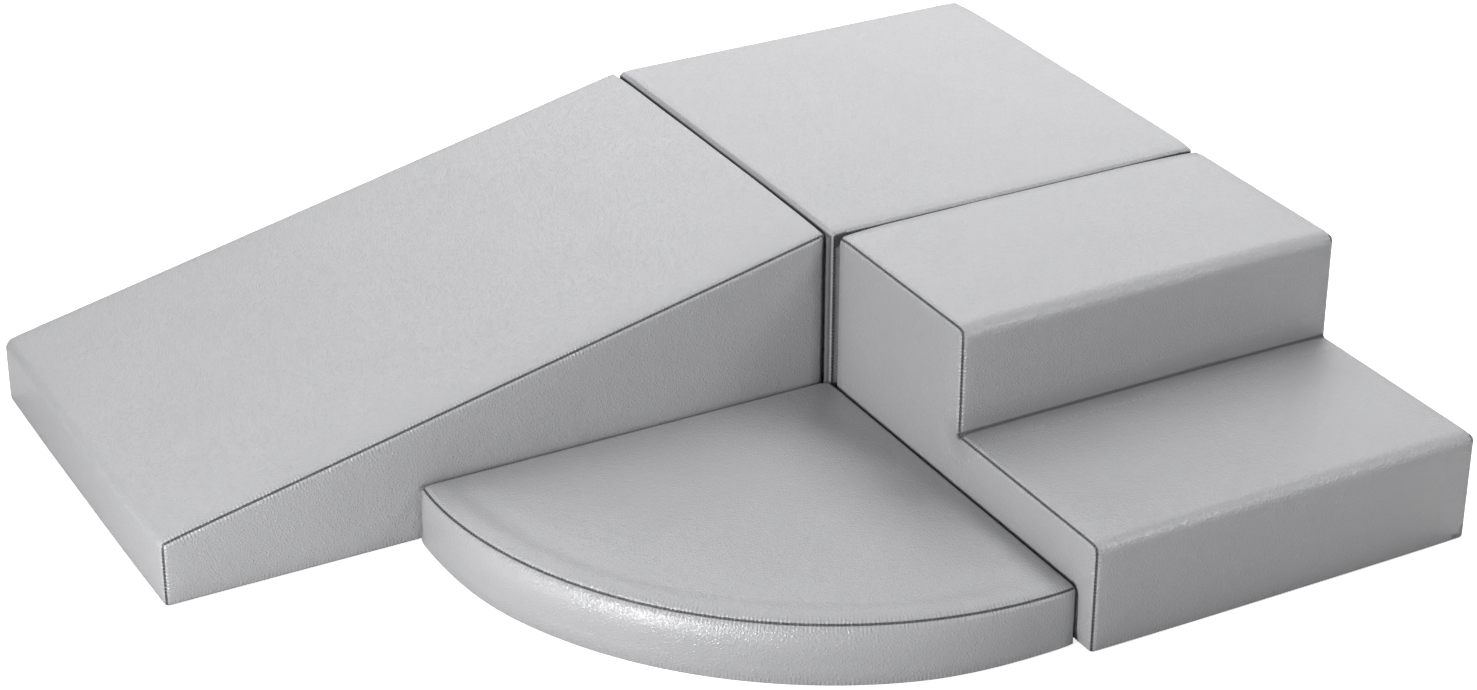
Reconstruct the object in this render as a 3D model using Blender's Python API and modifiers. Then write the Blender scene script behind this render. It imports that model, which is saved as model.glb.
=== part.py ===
"""Soft play foam climber: a ramp, a square block, a pair of steps and a quarter-round mat.

Each of the four pieces is a foam core in a sewn cover. A cover is cut from flat panels: a band
that runs over the outline, an end panel on each side of it and a non-slip base, with a zip in a
panel that faces away from the player. Hook-and-loop strips hold the pieces to each other.

The meeting corner is the point on the floor where the four pieces come together: the block lies
to its right and behind it. +X runs from the ramp to the block, +Y from the steps to the block.
Lengths are in metres.
"""

import math
from dataclasses import dataclass

import bmesh
import bpy
from mathutils import Matrix, Vector

# The four pieces
HEIGHT = 0.303
BLOCK_WIDTH = 0.58
BLOCK_DEPTH = 0.62
RAMP_LENGTH = 0.94
RAMP_WIDTH = 0.62
RAMP_LOW_HEIGHT = 0.093
STEPS_WIDTH = 0.58
STEPS_DEPTH = 0.62
TREAD_DEPTH = 0.31
TREAD_HEIGHT = 0.153
MAT_RADIUS = 0.60
MAT_HEIGHT = 0.088

# How the pieces stand to each other
RAMP_SET_BACK = 0.011
STEPS_SET_RIGHT = 0.007

# Cover and foam
COVER_THICKNESS = 0.0012
TOUCH = 0.0003
SEAM_WIDTH = 0.0009
LEAST_FOLD = 0.0015

# Rounded edges that a seam runs along
SIDE_EDGE_RADIUS = 0.009
BLOCK_EDGE_RADIUS = 0.013
MAT_EDGE_RADIUS = 0.011
FLOOR_EDGE_RADIUS = 0.008
MAT_TIP_RADIUS = 0.009
MAT_CORNER_RADIUS = 0.014

# Soft folds, where the band bends over the foam with no seam
LOW_END_FOLD = 0.020
CREST_FOLD = 0.005
BLOCK_FOLD = 0.014
NOSING_FOLD = 0.016
CREASE_FOLD = 0.010

# Crowns: how far a face swells past the seams that draw it in
TOP_CROWN = 0.003
BLOCK_TOP_CROWN = 0.004
FACE_CROWN = 0.002
SIDE_CROWN = 0.003
SIDE_CROWN_REACH = 0.035
MAT_CROWN = 0.007
MAT_BAND_CROWN = 0.0025
MAT_SEAM_FROM_TIP = 0.045

# Zips
ZIP_LENGTH = 0.42
MAT_ZIP_LENGTH = 0.36
ZIP_HEIGHT = 0.060
ZIP_FROM_BLOCK = 0.10
TAPE_WIDTH = 0.013
TAPE_THICKNESS = 0.0008
COIL_RADIUS = 0.0012
TAPE_SLIT = 0.0012
SLIDER_LENGTH = 0.014
SLIDER_WIDTH = 0.009
SLIDER_PLATE = 0.0012
SLIDER_WEB = 0.0006
SLIDER_ROOM = 0.001
BRIDGE_LENGTH = 0.008
BRIDGE_WIDTH = 0.003
BRIDGE_RISE = 0.0016
BRIDGE_THICKNESS = 0.0006

# Hook-and-loop strips
STRIP_THICKNESS = 0.0018
STRIP_WIDTH = 0.025
STRIP_LENGTH = 0.40
MAT_STRIP_LENGTH = 0.25
STRIP_CORNER = 0.004
STRIP_HEIGHT = 0.20
MAT_STRIP_FROM_CORNER = 0.20

OVERRUN = 0.004

# Facets
FOLD_FACETS = 3
ARC_FACETS = 16
COIL_FACETS = 6
SEAM_FACET_ANGLE = 22.5
CORE_FACET_ANGLE = 45.0
SHARP_ANGLE = 35.0
MIDDLE_SHARES = (0.12, 0.5, 0.88)
RING_SHARES = (1.0, 0.5, 0.2)
MAT_RING_SHARES = (1.0, 0.62, 0.35, 0.16, 0.06)
MAT_CROWN_REACH_SHARE = 0.7
CROWN_POWER = 3
STRAIGHT = 1e-6

SEAM = "seam"
PIECE_GAP = 2 * STRIP_THICKNESS + 3 * TOUCH
CORE_INSET = COVER_THICKNESS + TOUCH


# Outlines


@dataclass
class Corner:
    """A corner of an outline, with the edge that runs from it to the next corner."""

    x: float
    y: float
    fold: float = 0.0
    seam: bool = False
    crown: float = 0.0
    panel: str = ""


@dataclass
class End:
    """One closed end of a padded prism: its rounded edge, its seam and its swelling."""

    panel: str
    edge: float
    seam_angle: float = 45.0
    crown: float = 0.0
    reach: float = 0.0
    reach_share: float = 0.0
    rings: tuple = RING_SHARES


def edge_ways(corners):
    places = [Vector((c.x, c.y)) for c in corners]
    following = places[1:] + places[:1]
    return [(b - a).normalized() for a, b in zip(places, following)]


def turn_between(before, after):
    return math.atan2(before.cross(after), before.dot(after))


def drawn_in(corners, distances):
    """Where the corners lie once each edge has moved inwards by its own distance."""
    ways = edge_ways(corners)
    inward = [Vector((-way.y, way.x)) for way in ways]
    moved = []
    for index, corner in enumerate(corners):
        before, after = inward[index - 1], inward[index]
        d_before, d_after = distances[index - 1], distances[index]
        cosine = before.dot(after)
        spread = 1 - cosine * cosine
        if spread < STRAIGHT:
            moved.append(None)
            continue
        along_before = (d_before - cosine * d_after) / spread
        along_after = (d_after - cosine * d_before) / spread
        place = Vector((corner.x, corner.y))
        moved.append(place + before * along_before + after * along_after)
    return [place or point_on_edge(corners, moved, index) for index, place in enumerate(moved)]


def point_on_edge(corners, moved, index):
    """Where a seam that crosses a straight edge lies, at the same share of the moved edge."""
    count = len(corners)
    first, last = index - 1, (index + 1) % count
    while moved[first] is None:
        first -= 1
    while moved[last] is None:
        last = (last + 1) % count
    start, stop, place = (Vector((corners[i].x, corners[i].y)) for i in (first, last, index))
    share = (place - start).length / (stop - start).length
    return moved[first].lerp(moved[last], share)


def fold_shares(corner, turn, radius):
    """How far round its turn each point of a fold lies; a seam leaves a narrow strip free."""
    if corner.fold == 0:
        return [0]
    if not corner.seam:
        return [step / FOLD_FACETS for step in range(FOLD_FACETS + 1)]
    half_seam = SEAM_WIDTH / 2 / (radius * abs(turn))
    quarter = (1 / 2 - half_seam) / 2
    return [0, quarter, 2 * quarter, 1 - 2 * quarter, 1 - quarter, 1]


def outline_points(corners, inset, slack):
    """The outline drawn in by inset, and by its crowns as far as slack says."""
    ways = edge_ways(corners)
    moved = drawn_in(corners, [c.crown * slack + inset for c in corners])
    points = []
    for index, corner in enumerate(corners):
        before = ways[index - 1]
        turn = turn_between(before, ways[index])
        if corner.fold == 0:
            points.append(moved[index])
            continue
        side = math.copysign(1, turn)
        radius = max(corner.fold - side * inset, LEAST_FOLD)
        start = moved[index] - before * radius * math.tan(abs(turn) / 2)
        centre = start + Vector((-before.y, before.x)) * radius * side
        for share in fold_shares(corner, turn, radius):
            points.append(centre + Matrix.Rotation(share * turn, 2) @ (start - centre))
    return points


def outline_panels(corners):
    """The panel that each stretch of the outline belongs to, in the order of its points."""
    panels = []
    for index, corner in enumerate(corners):
        stretches = len(fold_shares(corner, 1, corner.fold)) - 1
        if corner.seam:
            half = stretches // 2
            panels += [corners[index - 1].panel] * half + [SEAM] + [corner.panel] * half
        else:
            panels += [corner.panel] * stretches
        panels.append(corner.panel)
    return panels


# Padded prisms: an outline carried across a width, with rounded and crowned ends


def edge_angles(end, fine):
    """Angles round an end's edge, from the end face (90) to the outline (0)."""
    if not fine:
        facets = round(90 / CORE_FACET_ANGLE)
        return [90 * (facets - step) / facets for step in range(facets + 1)]
    half_seam = math.degrees(SEAM_WIDTH / 2 / end.edge)
    middle = min(end.seam_angle, 90 - half_seam)
    high, low = middle + half_seam, middle - half_seam
    angles = []
    outer = round((90 - high) / SEAM_FACET_ANGLE)
    angles += [90 - (90 - high) * step / outer for step in range(outer)]
    angles.append(high)
    inner = round(low / SEAM_FACET_ANGLE)
    angles += [low * (inner - step) / inner for step in range(inner + 1)]
    return angles


def end_rings(end, inset, fine):
    """(distance from the end, outline inset, slack, shrink, panel of the strip that follows)."""
    rings = []
    if end.crown > 0:
        for share in end.rings:
            sunk = end.crown * (1 - share) ** 2 + inset
            drawn = end.edge + share * max(end.reach - end.edge, 0)
            rings.append((sunk, drawn, 1, share * end.reach_share, end.panel))
    angles = edge_angles(end, fine)
    half_seam = math.degrees(SEAM_WIDTH / 2 / end.edge)
    middle = min(end.seam_angle, 90 - half_seam)
    for angle, following in zip(angles, angles[1:] + [0]):
        if fine and angle > middle > following:
            panel = SEAM
        elif angle > middle:
            panel = end.panel
        else:
            panel = ""
        turn = math.radians(angle)
        radius = end.edge - inset
        depth = end.crown + end.edge - radius * math.sin(turn)
        rings.append((depth, end.edge - radius * math.cos(turn), 1, 0, panel))
    return rings


def all_rings(width, near, far, inset, fine):
    rings = end_rings(near, inset, fine)
    start = near.crown + near.edge
    stop = width - far.crown - far.edge
    for share in MIDDLE_SHARES:
        slack = abs(2 * share - 1) ** CROWN_POWER
        rings.append((start + (stop - start) * share, inset, slack, 0, ""))
    back = end_rings(far, inset, fine)
    panels = [ring[-1] for ring in back]
    turned = [(width - ring[0], *ring[1:-1], panel)
              for ring, panel in zip(back, panels[-1:] + panels[:-1])]
    return rings + turned[::-1]


def padded_prism(corners, width, near, far, axes, inset=0.0, fine=True):
    """A closed bmesh; each face's panel is kept by number in its material_index."""
    names = sorted({c.panel for c in corners} | {near.panel, far.panel, SEAM})
    bm = bmesh.new()
    along = outline_panels(corners)
    rings = all_rings(width, near, far, inset, fine)
    loops = []
    for depth, drawn, slack, shrink, _ in rings:
        points = outline_points(corners, drawn, slack)
        middle = sum(points, Vector((0, 0))) / len(points)
        points = [point.lerp(middle, shrink) for point in points]
        loops.append([bm.verts.new(axes @ Vector((p.x, p.y, depth))) for p in points])
    for index, (first, second) in enumerate(zip(loops, loops[1:])):
        across = rings[index][-1]
        for step, panel in enumerate(along):
            after = (step + 1) % len(along)
            face = bm.faces.new((first[step], first[after], second[after], second[step]))
            face.material_index = names.index(across or panel)
    near_cap = bm.faces.new(loops[0][::-1])
    near_cap.material_index = names.index(near.panel)
    far_cap = bm.faces.new(loops[-1])
    far_cap.material_index = names.index(far.panel)
    bmesh.ops.recalc_face_normals(bm, faces=bm.faces)
    return bm, names


# Objects


def material(name, colour, roughness, metallic=0.0):
    made = bpy.data.materials.new(name)
    made.use_nodes = True
    shader = made.node_tree.nodes["Principled BSDF"]
    shader.inputs["Base Color"].default_value = (*colour, 1)
    shader.inputs["Roughness"].default_value = roughness
    shader.inputs["Metallic"].default_value = metallic
    return made


def new_object(name, data, group, parent, finish):
    obj = bpy.data.objects.new(name, data)
    group.objects.link(obj)
    obj.parent = parent
    if finish:
        obj.data.materials.clear()
        obj.data.materials.append(finish)
    return obj


def new_empty(name, group, parent, location):
    empty = bpy.data.objects.new(name, None)
    empty.location = location
    empty.parent = parent
    group.objects.link(empty)
    return empty


def mesh_from(bm, name):
    mesh = bpy.data.meshes.new(name)
    bm.to_mesh(mesh)
    bm.free()
    mesh.shade_smooth()
    mesh.set_sharp_from_angle(angle=math.radians(SHARP_ANGLE))
    return mesh


def cover_panels(skin, names, module, finishes, group, parent):
    """Splits a closed skin along its seams and gives each panel the cover's thickness."""
    panels = {}
    for number, name in enumerate(names):
        if name == SEAM:
            continue
        bm = skin.copy()
        others = [face for face in bm.faces if face.material_index != number]
        bmesh.ops.delete(bm, geom=others, context="FACES")
        bmesh.ops.dissolve_limit(bm, angle_limit=STRAIGHT, verts=bm.verts, edges=bm.edges)
        for face in bm.faces:
            face.material_index = 0
        title = f"{module}_{name}"
        finish = finishes["grip"] if name == "base_panel" else finishes["leather"]
        panel = new_object(title, mesh_from(bm, title), group, parent, finish)
        shell = panel.modifiers.new("cover thickness", "SOLIDIFY")
        shell.thickness = COVER_THICKNESS
        shell.offset = -1
        shell.use_even_offset = True
        panels[name] = panel
    skin.free()
    return panels


def foam(name, corners, width, near, far, axes, finishes, group, parent):
    bm, _ = padded_prism(corners, width, near, far, axes, inset=CORE_INSET, fine=False)
    for face in bm.faces:
        face.material_index = 0
    return new_object(name, mesh_from(bm, name), group, parent, finishes["foam"])


def extrusion(name, points, length, place, finish, group, parent):
    """A closed outline in its own X and Y, extruded length along Z, middle at the origin."""
    bm = bmesh.new()
    half = Vector((0, 0, length / 2))
    face = bm.faces.new([bm.verts.new(Vector((x, y, 0)) - half) for x, y in points])
    grown = bmesh.ops.extrude_face_region(bm, geom=[face])["geom"]
    tops = [item for item in grown if isinstance(item, bmesh.types.BMVert)]
    bmesh.ops.translate(bm, verts=tops, vec=2 * half)
    bmesh.ops.recalc_face_normals(bm, faces=bm.faces)
    obj = new_object(name, mesh_from(bm, name), group, parent, finish)
    obj.matrix_local = place
    return obj


def rectangle(x_low, x_high, y_low, y_high):
    return [(x_low, y_low), (x_high, y_low), (x_high, y_high), (x_low, y_high)]


def combine(target, tool, operation):
    """Cuts a tool out of the target (DIFFERENCE) or joins it on (UNION), and hides the tool."""
    tool.hide_render = True
    tool.display_type = "WIRE"
    step = target.modifiers.new(tool.name, "BOOLEAN")
    step.operation = operation
    step.object = tool


def face_frame(origin, up, out):
    """A matrix whose X is up, Y is out and Z runs along the face."""
    up, out = Vector(up), Vector(out)
    along = up.cross(out)
    turned = Matrix((up, out, along)).transposed().to_4x4()
    return Matrix.Translation(origin) @ turned


# Zips


def tape_outline(side):
    """Half a zip in section: a flat tape with the coil rolled round its inner edge."""
    middle = -(COVER_THICKNESS + TOUCH + TAPE_THICKNESS / 2)
    half = TAPE_THICKNESS / 2
    coil_x = TAPE_SLIT / 2 + COIL_RADIUS
    meets = math.asin(half / COIL_RADIUS)
    points = [(TAPE_WIDTH, middle - half), (TAPE_WIDTH, middle + half)]
    for step in range(COIL_FACETS + 1):
        angle = meets + (2 * math.pi - 2 * meets) * step / COIL_FACETS
        x = coil_x + COIL_RADIUS * math.cos(angle)
        points.append((x, middle + COIL_RADIUS * math.sin(angle)))
    return [(side * x, y) for x, y in points]


def slider_outline():
    """A slider in section: two plates, over and under the coils, joined through the slit."""
    middle = -(COVER_THICKNESS + TOUCH + TAPE_THICKNESS / 2)
    near = COIL_RADIUS + TOUCH
    far = near + SLIDER_PLATE
    half, web = SLIDER_WIDTH / 2, SLIDER_WEB / 2
    right = [(half, -far), (half, -near), (web, -near), (web, near), (half, near), (half, far)]
    left = [(-x, y) for x, y in right[::-1]]
    return [(x, middle + y) for x, y in right + left]


def slider_stands_out():
    """How far a slider's bridge stands out of the panel that its zip is in."""
    return COIL_RADIUS + SLIDER_PLATE + BRIDGE_RISE - COVER_THICKNESS - TAPE_THICKNESS / 2


def bridge_outline():
    """The small arch on a slider, which a paper clip goes through in place of a pull tab."""
    half = BRIDGE_LENGTH / 2
    inner = half - BRIDGE_THICKNESS
    crown = slider_stands_out()
    ceiling = crown - BRIDGE_THICKNESS
    foot = crown - BRIDGE_RISE - SLIDER_PLATE / 2
    return [(-half, foot), (-inner, foot), (-inner, ceiling), (inner, ceiling),
            (inner, foot), (half, foot), (half, crown), (-half, crown)]


def add_zip(module, frame, length, panel, core, finishes, groups, parent):
    """A zip in the slot of a panel. frame is the slot's middle on the panel's outer face."""
    parts, cutters = groups
    tape_length = length - 2 * TOUCH
    for side, word in ((1, "upper"), (-1, "lower")):
        extrusion(f"{module}_zip_{word}_tape", tape_outline(side), tape_length, frame,
                  finishes["tape"], parts, parent)
    slot_half = SLIDER_WIDTH / 2 + SLIDER_ROOM
    slot = rectangle(-slot_half, slot_half, -(COVER_THICKNESS + OVERRUN), OVERRUN)
    opening = extrusion(f"{module}_zip_slot", slot, length, frame, None, cutters, parent)
    combine(panel, opening, "DIFFERENCE")
    middle = COVER_THICKNESS + TOUCH + TAPE_THICKNESS / 2
    rebate_half = TAPE_WIDTH + SLIDER_ROOM
    rebate_depth = middle + TAPE_THICKNESS / 2 + TOUCH
    deep = middle + COIL_RADIUS + TOUCH + SLIDER_PLATE + TOUCH
    groove = [(slot_half, -deep), (slot_half, -rebate_depth), (rebate_half, -rebate_depth),
              (rebate_half, OVERRUN)]
    groove += [(-x, y) for x, y in groove[::-1]]
    room = extrusion(f"{module}_zip_groove", groove, length, frame, None, cutters, parent)
    combine(core, room, "DIFFERENCE")
    start = Matrix.Translation((0, 0, -(length / 2 - SLIDER_LENGTH / 2 - SLIDER_ROOM)))
    slider = extrusion(f"{module}_zip_slider", slider_outline(), SLIDER_LENGTH, frame @ start,
                       finishes["metal"], parts, parent)
    across = Matrix.Rotation(math.radians(90), 4, "Y")
    bridge = extrusion(f"{module}_zip_bridge", bridge_outline(), BRIDGE_WIDTH,
                       frame @ start @ across, None, cutters, parent)
    combine(slider, bridge, "UNION")


# Hook-and-loop strips


def add_strip(name, frame, length, finishes, group, parent):
    """A strip with rounded corners, flat against the face that frame's origin lies on."""
    corners = [Corner(-STRIP_WIDTH / 2, -length / 2, STRIP_CORNER),
               Corner(STRIP_WIDTH / 2, -length / 2, STRIP_CORNER),
               Corner(STRIP_WIDTH / 2, length / 2, STRIP_CORNER),
               Corner(-STRIP_WIDTH / 2, length / 2, STRIP_CORNER)]
    outline = [tuple(point) for point in outline_points(corners, 0, 0)]
    lie_flat = Matrix.Rotation(math.radians(-90), 4, "X")
    out = Matrix.Translation((0, TOUCH + STRIP_THICKNESS / 2, 0))
    return extrusion(name, outline, STRIP_THICKNESS, frame @ out @ lie_flat,
                     finishes["strip"], group, parent)


# The pieces


X_Z_AXES = Matrix(((1, 0, 0), (0, 0, 1), (0, 1, 0)))
Y_Z_AXES = Matrix(((0, 0, 1), (1, 0, 0), (0, 1, 0)))
X_Y_AXES = Matrix.Identity(3)

UP = (0, 0, 1)
LEFT, RIGHT = (-1, 0, 0), (1, 0, 0)
FRONT, BACK = (0, -1, 0), (0, 1, 0)


def build_ramp(root, finishes, groups):
    """A wedge. Its origin is the front floor corner of its high end."""
    parts, _ = groups
    parent = new_empty("ramp", parts, root, (-PIECE_GAP, RAMP_SET_BACK, 0))
    corners = [
        Corner(-RAMP_LENGTH, 0, FLOOR_EDGE_RADIUS, True, 0, "base_panel"),
        Corner(0, 0, FLOOR_EDGE_RADIUS, True, 0, "cover_band"),
        Corner(0, HEIGHT, CREST_FOLD, False, TOP_CROWN, "cover_band"),
        Corner(-RAMP_LENGTH, RAMP_LOW_HEIGHT, LOW_END_FOLD, False, FACE_CROWN, "cover_band"),
    ]
    near = End("front_side_panel", SIDE_EDGE_RADIUS)
    far = End("back_side_panel", SIDE_EDGE_RADIUS, crown=SIDE_CROWN, reach=SIDE_CROWN_REACH)
    shape = (corners, RAMP_WIDTH, near, far, X_Z_AXES)
    skin, names = padded_prism(*shape)
    panels = cover_panels(skin, names, "ramp", finishes, parts, parent)
    core = foam("ramp_foam_core", *shape, finishes, parts, parent)
    middle = Vector((-(ZIP_FROM_BLOCK + ZIP_LENGTH / 2), RAMP_WIDTH, ZIP_HEIGHT))
    add_zip("ramp", face_frame(middle, UP, BACK), ZIP_LENGTH, panels["back_side_panel"], core,
            finishes, groups, parent)
    add_strip("ramp_end_hook_strip",
              face_frame(Vector((0, RAMP_WIDTH / 2, STRIP_HEIGHT)), UP, RIGHT),
              STRIP_LENGTH, finishes, parts, parent)
    beside_mat = Vector((-(MAT_STRIP_FROM_CORNER + MAT_STRIP_LENGTH / 2), 0, MAT_HEIGHT / 2))
    add_strip("ramp_side_hook_strip", face_frame(beside_mat, UP, FRONT), MAT_STRIP_LENGTH,
              finishes, parts, parent)


def build_block(root, finishes, groups):
    """A square block. Its origin is the meeting corner."""
    parts, _ = groups
    parent = new_empty("block", parts, root, (0, 0, 0))
    corners = [
        Corner(0, 0, FLOOR_EDGE_RADIUS, True, 0, "base_panel"),
        Corner(BLOCK_WIDTH, 0, FLOOR_EDGE_RADIUS, True, SIDE_CROWN, "cover_band"),
        Corner(BLOCK_WIDTH, HEIGHT, BLOCK_FOLD, False, BLOCK_TOP_CROWN, "cover_band"),
        Corner(0, HEIGHT, BLOCK_FOLD, False, 0, "cover_band"),
    ]
    near = End("front_side_panel", BLOCK_EDGE_RADIUS, 90)
    far = End("back_side_panel", BLOCK_EDGE_RADIUS, 90, SIDE_CROWN, SIDE_CROWN_REACH)
    shape = (corners, BLOCK_DEPTH, near, far, X_Z_AXES)
    skin, names = padded_prism(*shape)
    panels = cover_panels(skin, names, "block", finishes, parts, parent)
    core = foam("block_foam_core", *shape, finishes, parts, parent)
    middle = Vector((BLOCK_WIDTH / 2, BLOCK_DEPTH, ZIP_HEIGHT))
    add_zip("block", face_frame(middle, UP, BACK), ZIP_LENGTH, panels["back_side_panel"], core,
            finishes, groups, parent)
    facing_ramp = Vector((0, RAMP_SET_BACK + RAMP_WIDTH / 2, STRIP_HEIGHT))
    add_strip("block_left_loop_strip", face_frame(facing_ramp, UP, LEFT), STRIP_LENGTH,
              finishes, parts, parent)
    facing_steps = Vector((STEPS_SET_RIGHT + STEPS_WIDTH / 2, 0, STRIP_HEIGHT))
    add_strip("block_front_loop_strip", face_frame(facing_steps, UP, FRONT), STRIP_LENGTH,
              finishes, parts, parent)


def build_steps(root, finishes, groups):
    """Two steps. Their origin is the left floor corner against the block."""
    parts, _ = groups
    parent = new_empty("steps", parts, root, (STEPS_SET_RIGHT, -PIECE_GAP, 0))
    corners = [
        Corner(-STEPS_DEPTH, 0, FLOOR_EDGE_RADIUS, True, 0, "base_panel"),
        Corner(0, 0, FLOOR_EDGE_RADIUS, True, 0, "cover_band"),
        Corner(0, HEIGHT, CREST_FOLD, False, TOP_CROWN, "cover_band"),
        Corner(-TREAD_DEPTH, HEIGHT, NOSING_FOLD, False, FACE_CROWN, "cover_band"),
        Corner(-TREAD_DEPTH, TREAD_HEIGHT, CREASE_FOLD, False, TOP_CROWN, "cover_band"),
        Corner(-STEPS_DEPTH, TREAD_HEIGHT, NOSING_FOLD, False, FACE_CROWN, "cover_band"),
    ]
    near = End("left_side_panel", SIDE_EDGE_RADIUS)
    far = End("right_side_panel", SIDE_EDGE_RADIUS, crown=SIDE_CROWN, reach=SIDE_CROWN_REACH)
    ends = (STEPS_WIDTH, near, far, Y_Z_AXES)
    skin, names = padded_prism(corners, *ends)
    panels = cover_panels(skin, names, "steps", finishes, parts, parent)
    # The foam is two slabs glued together. Both lie CORE_INSET inside the cover.
    joint = TREAD_HEIGHT - TOP_CROWN
    lower = [
        Corner(-STEPS_DEPTH, 0, FLOOR_EDGE_RADIUS, True, 0, "foam"),
        Corner(0, 0, FLOOR_EDGE_RADIUS, True, 0, "foam"),
        Corner(0, joint, LEAST_FOLD + CORE_INSET, False, 0, "foam"),
        Corner(-STEPS_DEPTH, joint, NOSING_FOLD, False, FACE_CROWN, "foam"),
    ]
    seat = joint - 2 * CORE_INSET + TOUCH
    upper = [
        Corner(-TREAD_DEPTH, seat, LEAST_FOLD + CORE_INSET, False, 0, "foam"),
        Corner(0, seat, LEAST_FOLD + CORE_INSET, False, 0, "foam"),
        Corner(0, HEIGHT, CREST_FOLD, False, TOP_CROWN, "foam"),
        Corner(-TREAD_DEPTH, HEIGHT, NOSING_FOLD, False, FACE_CROWN, "foam"),
    ]
    core = foam("steps_lower_foam", lower, *ends, finishes, parts, parent)
    foam("steps_upper_foam", upper, *ends, finishes, parts, parent)
    middle = Vector((STEPS_WIDTH, -STEPS_DEPTH / 2, ZIP_HEIGHT))
    add_zip("steps", face_frame(middle, UP, RIGHT), ZIP_LENGTH, panels["right_side_panel"],
            core, finishes, groups, parent)
    add_strip("steps_back_hook_strip",
              face_frame(Vector((STEPS_WIDTH / 2, 0, STRIP_HEIGHT)), UP, BACK),
              STRIP_LENGTH, finishes, parts, parent)


def mat_corners():
    """A quarter of a disc, with its straight sides towards the ramp and the steps."""
    tip_seam = MAT_RADIUS - MAT_SEAM_FROM_TIP
    corners = [
        Corner(0, 0, MAT_CORNER_RADIUS, False, 0, "zip_band"),
        Corner(-tip_seam + SEAM_WIDTH, 0, 0, False, 0, SEAM),
        Corner(-tip_seam, 0, 0, False, 0, "arc_band"),
        Corner(-MAT_RADIUS, 0, MAT_TIP_RADIUS, False, MAT_BAND_CROWN, "arc_band"),
    ]
    for step in range(1, ARC_FACETS):
        angle = math.pi + math.pi / 2 * step / ARC_FACETS
        corners.append(Corner(MAT_RADIUS * math.cos(angle), MAT_RADIUS * math.sin(angle), 0,
                              False, MAT_BAND_CROWN, "arc_band"))
    corners += [
        Corner(0, -MAT_RADIUS, MAT_TIP_RADIUS, False, 0, "arc_band"),
        Corner(0, -tip_seam, 0, False, 0, SEAM),
        Corner(0, -tip_seam + SEAM_WIDTH, 0, False, 0, "zip_band"),
    ]
    return corners


def build_mat(root, finishes, groups):
    """A quarter-round landing mat. Its origin is its square corner, on the floor."""
    parts, _ = groups
    place = (STEPS_SET_RIGHT - PIECE_GAP, RAMP_SET_BACK - PIECE_GAP, 0)
    parent = new_empty("mat", parts, root, place)
    near = End("base_panel", FLOOR_EDGE_RADIUS)
    far = End("top_panel", MAT_EDGE_RADIUS, crown=MAT_CROWN, reach_share=MAT_CROWN_REACH_SHARE,
              rings=MAT_RING_SHARES)
    shape = (mat_corners(), MAT_HEIGHT, near, far, X_Y_AXES)
    skin, names = padded_prism(*shape)
    panels = cover_panels(skin, names, "mat", finishes, parts, parent)
    core = foam("mat_foam_core", *shape, finishes, parts, parent)
    middle = Vector((0, -MAT_RADIUS / 2, MAT_HEIGHT / 2))
    add_zip("mat", face_frame(middle, UP, RIGHT), MAT_ZIP_LENGTH, panels["zip_band"], core,
            finishes, groups, parent)
    beside = -(MAT_STRIP_FROM_CORNER + MAT_STRIP_LENGTH / 2 + STEPS_SET_RIGHT)
    add_strip("mat_back_loop_strip", face_frame(Vector((beside, 0, MAT_HEIGHT / 2)), UP, BACK),
              MAT_STRIP_LENGTH, finishes, parts, parent)


def middle_of_footprint():
    """The middle of the floor that the whole climber covers, from the meeting corner."""
    left = -PIECE_GAP - RAMP_LENGTH
    right = max(BLOCK_WIDTH, STEPS_SET_RIGHT + STEPS_WIDTH + slider_stands_out())
    front = -PIECE_GAP - STEPS_DEPTH
    back = max(BLOCK_DEPTH, RAMP_SET_BACK + RAMP_WIDTH) + slider_stands_out()
    return Vector(((left + right) / 2, (front + back) / 2, 0))


def main():
    for obj in list(bpy.data.objects):
        bpy.data.objects.remove(obj)
    parts = bpy.data.collections.new("soft_play_foam_climber")
    cutters = bpy.data.collections.new("cutters")
    for collection in (parts, cutters):
        bpy.context.scene.collection.children.link(collection)
    finishes = {
        "leather": material("grey faux leather", (0.55, 0.55, 0.56), 0.42),
        "grip": material("dotted non-slip cloth", (0.10, 0.10, 0.11), 0.8),
        "foam": material("polyethylene foam", (0.82, 0.82, 0.80), 0.9),
        "tape": material("zip tape", (0.35, 0.35, 0.36), 0.7),
        "metal": material("slider metal", (0.55, 0.55, 0.56), 0.3, 1.0),
        "strip": material("hook and loop", (0.30, 0.30, 0.31), 0.9),
    }
    root = new_empty("climber", parts, None, -middle_of_footprint())
    groups = (parts, cutters)
    build_ramp(root, finishes, groups)
    build_block(root, finishes, groups)
    build_steps(root, finishes, groups)
    build_mat(root, finishes, groups)


main()
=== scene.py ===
# %% [markdown]
# # A soft play foam climber
#
# The set has four foam modules in sewn covers of grey faux leather: a ramp, a square block, a pair of
# steps and a quarter-round landing mat. Their construction is packed already, with its foam, zips and
# hook-and-loop strips, and it is loaded here as it is. This lesson makes what the eye sees: covers that
# are rounded and drawn in at their seams, the stitches, the zip teeth, and every finish.

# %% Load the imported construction
import math
from collections import namedtuple

import bmesh
import bpy
from mathutils import Matrix, Quaternion, Vector, noise
from mathutils.bvhtree import BVHTree
from mathutils.kdtree import KDTree


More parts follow.
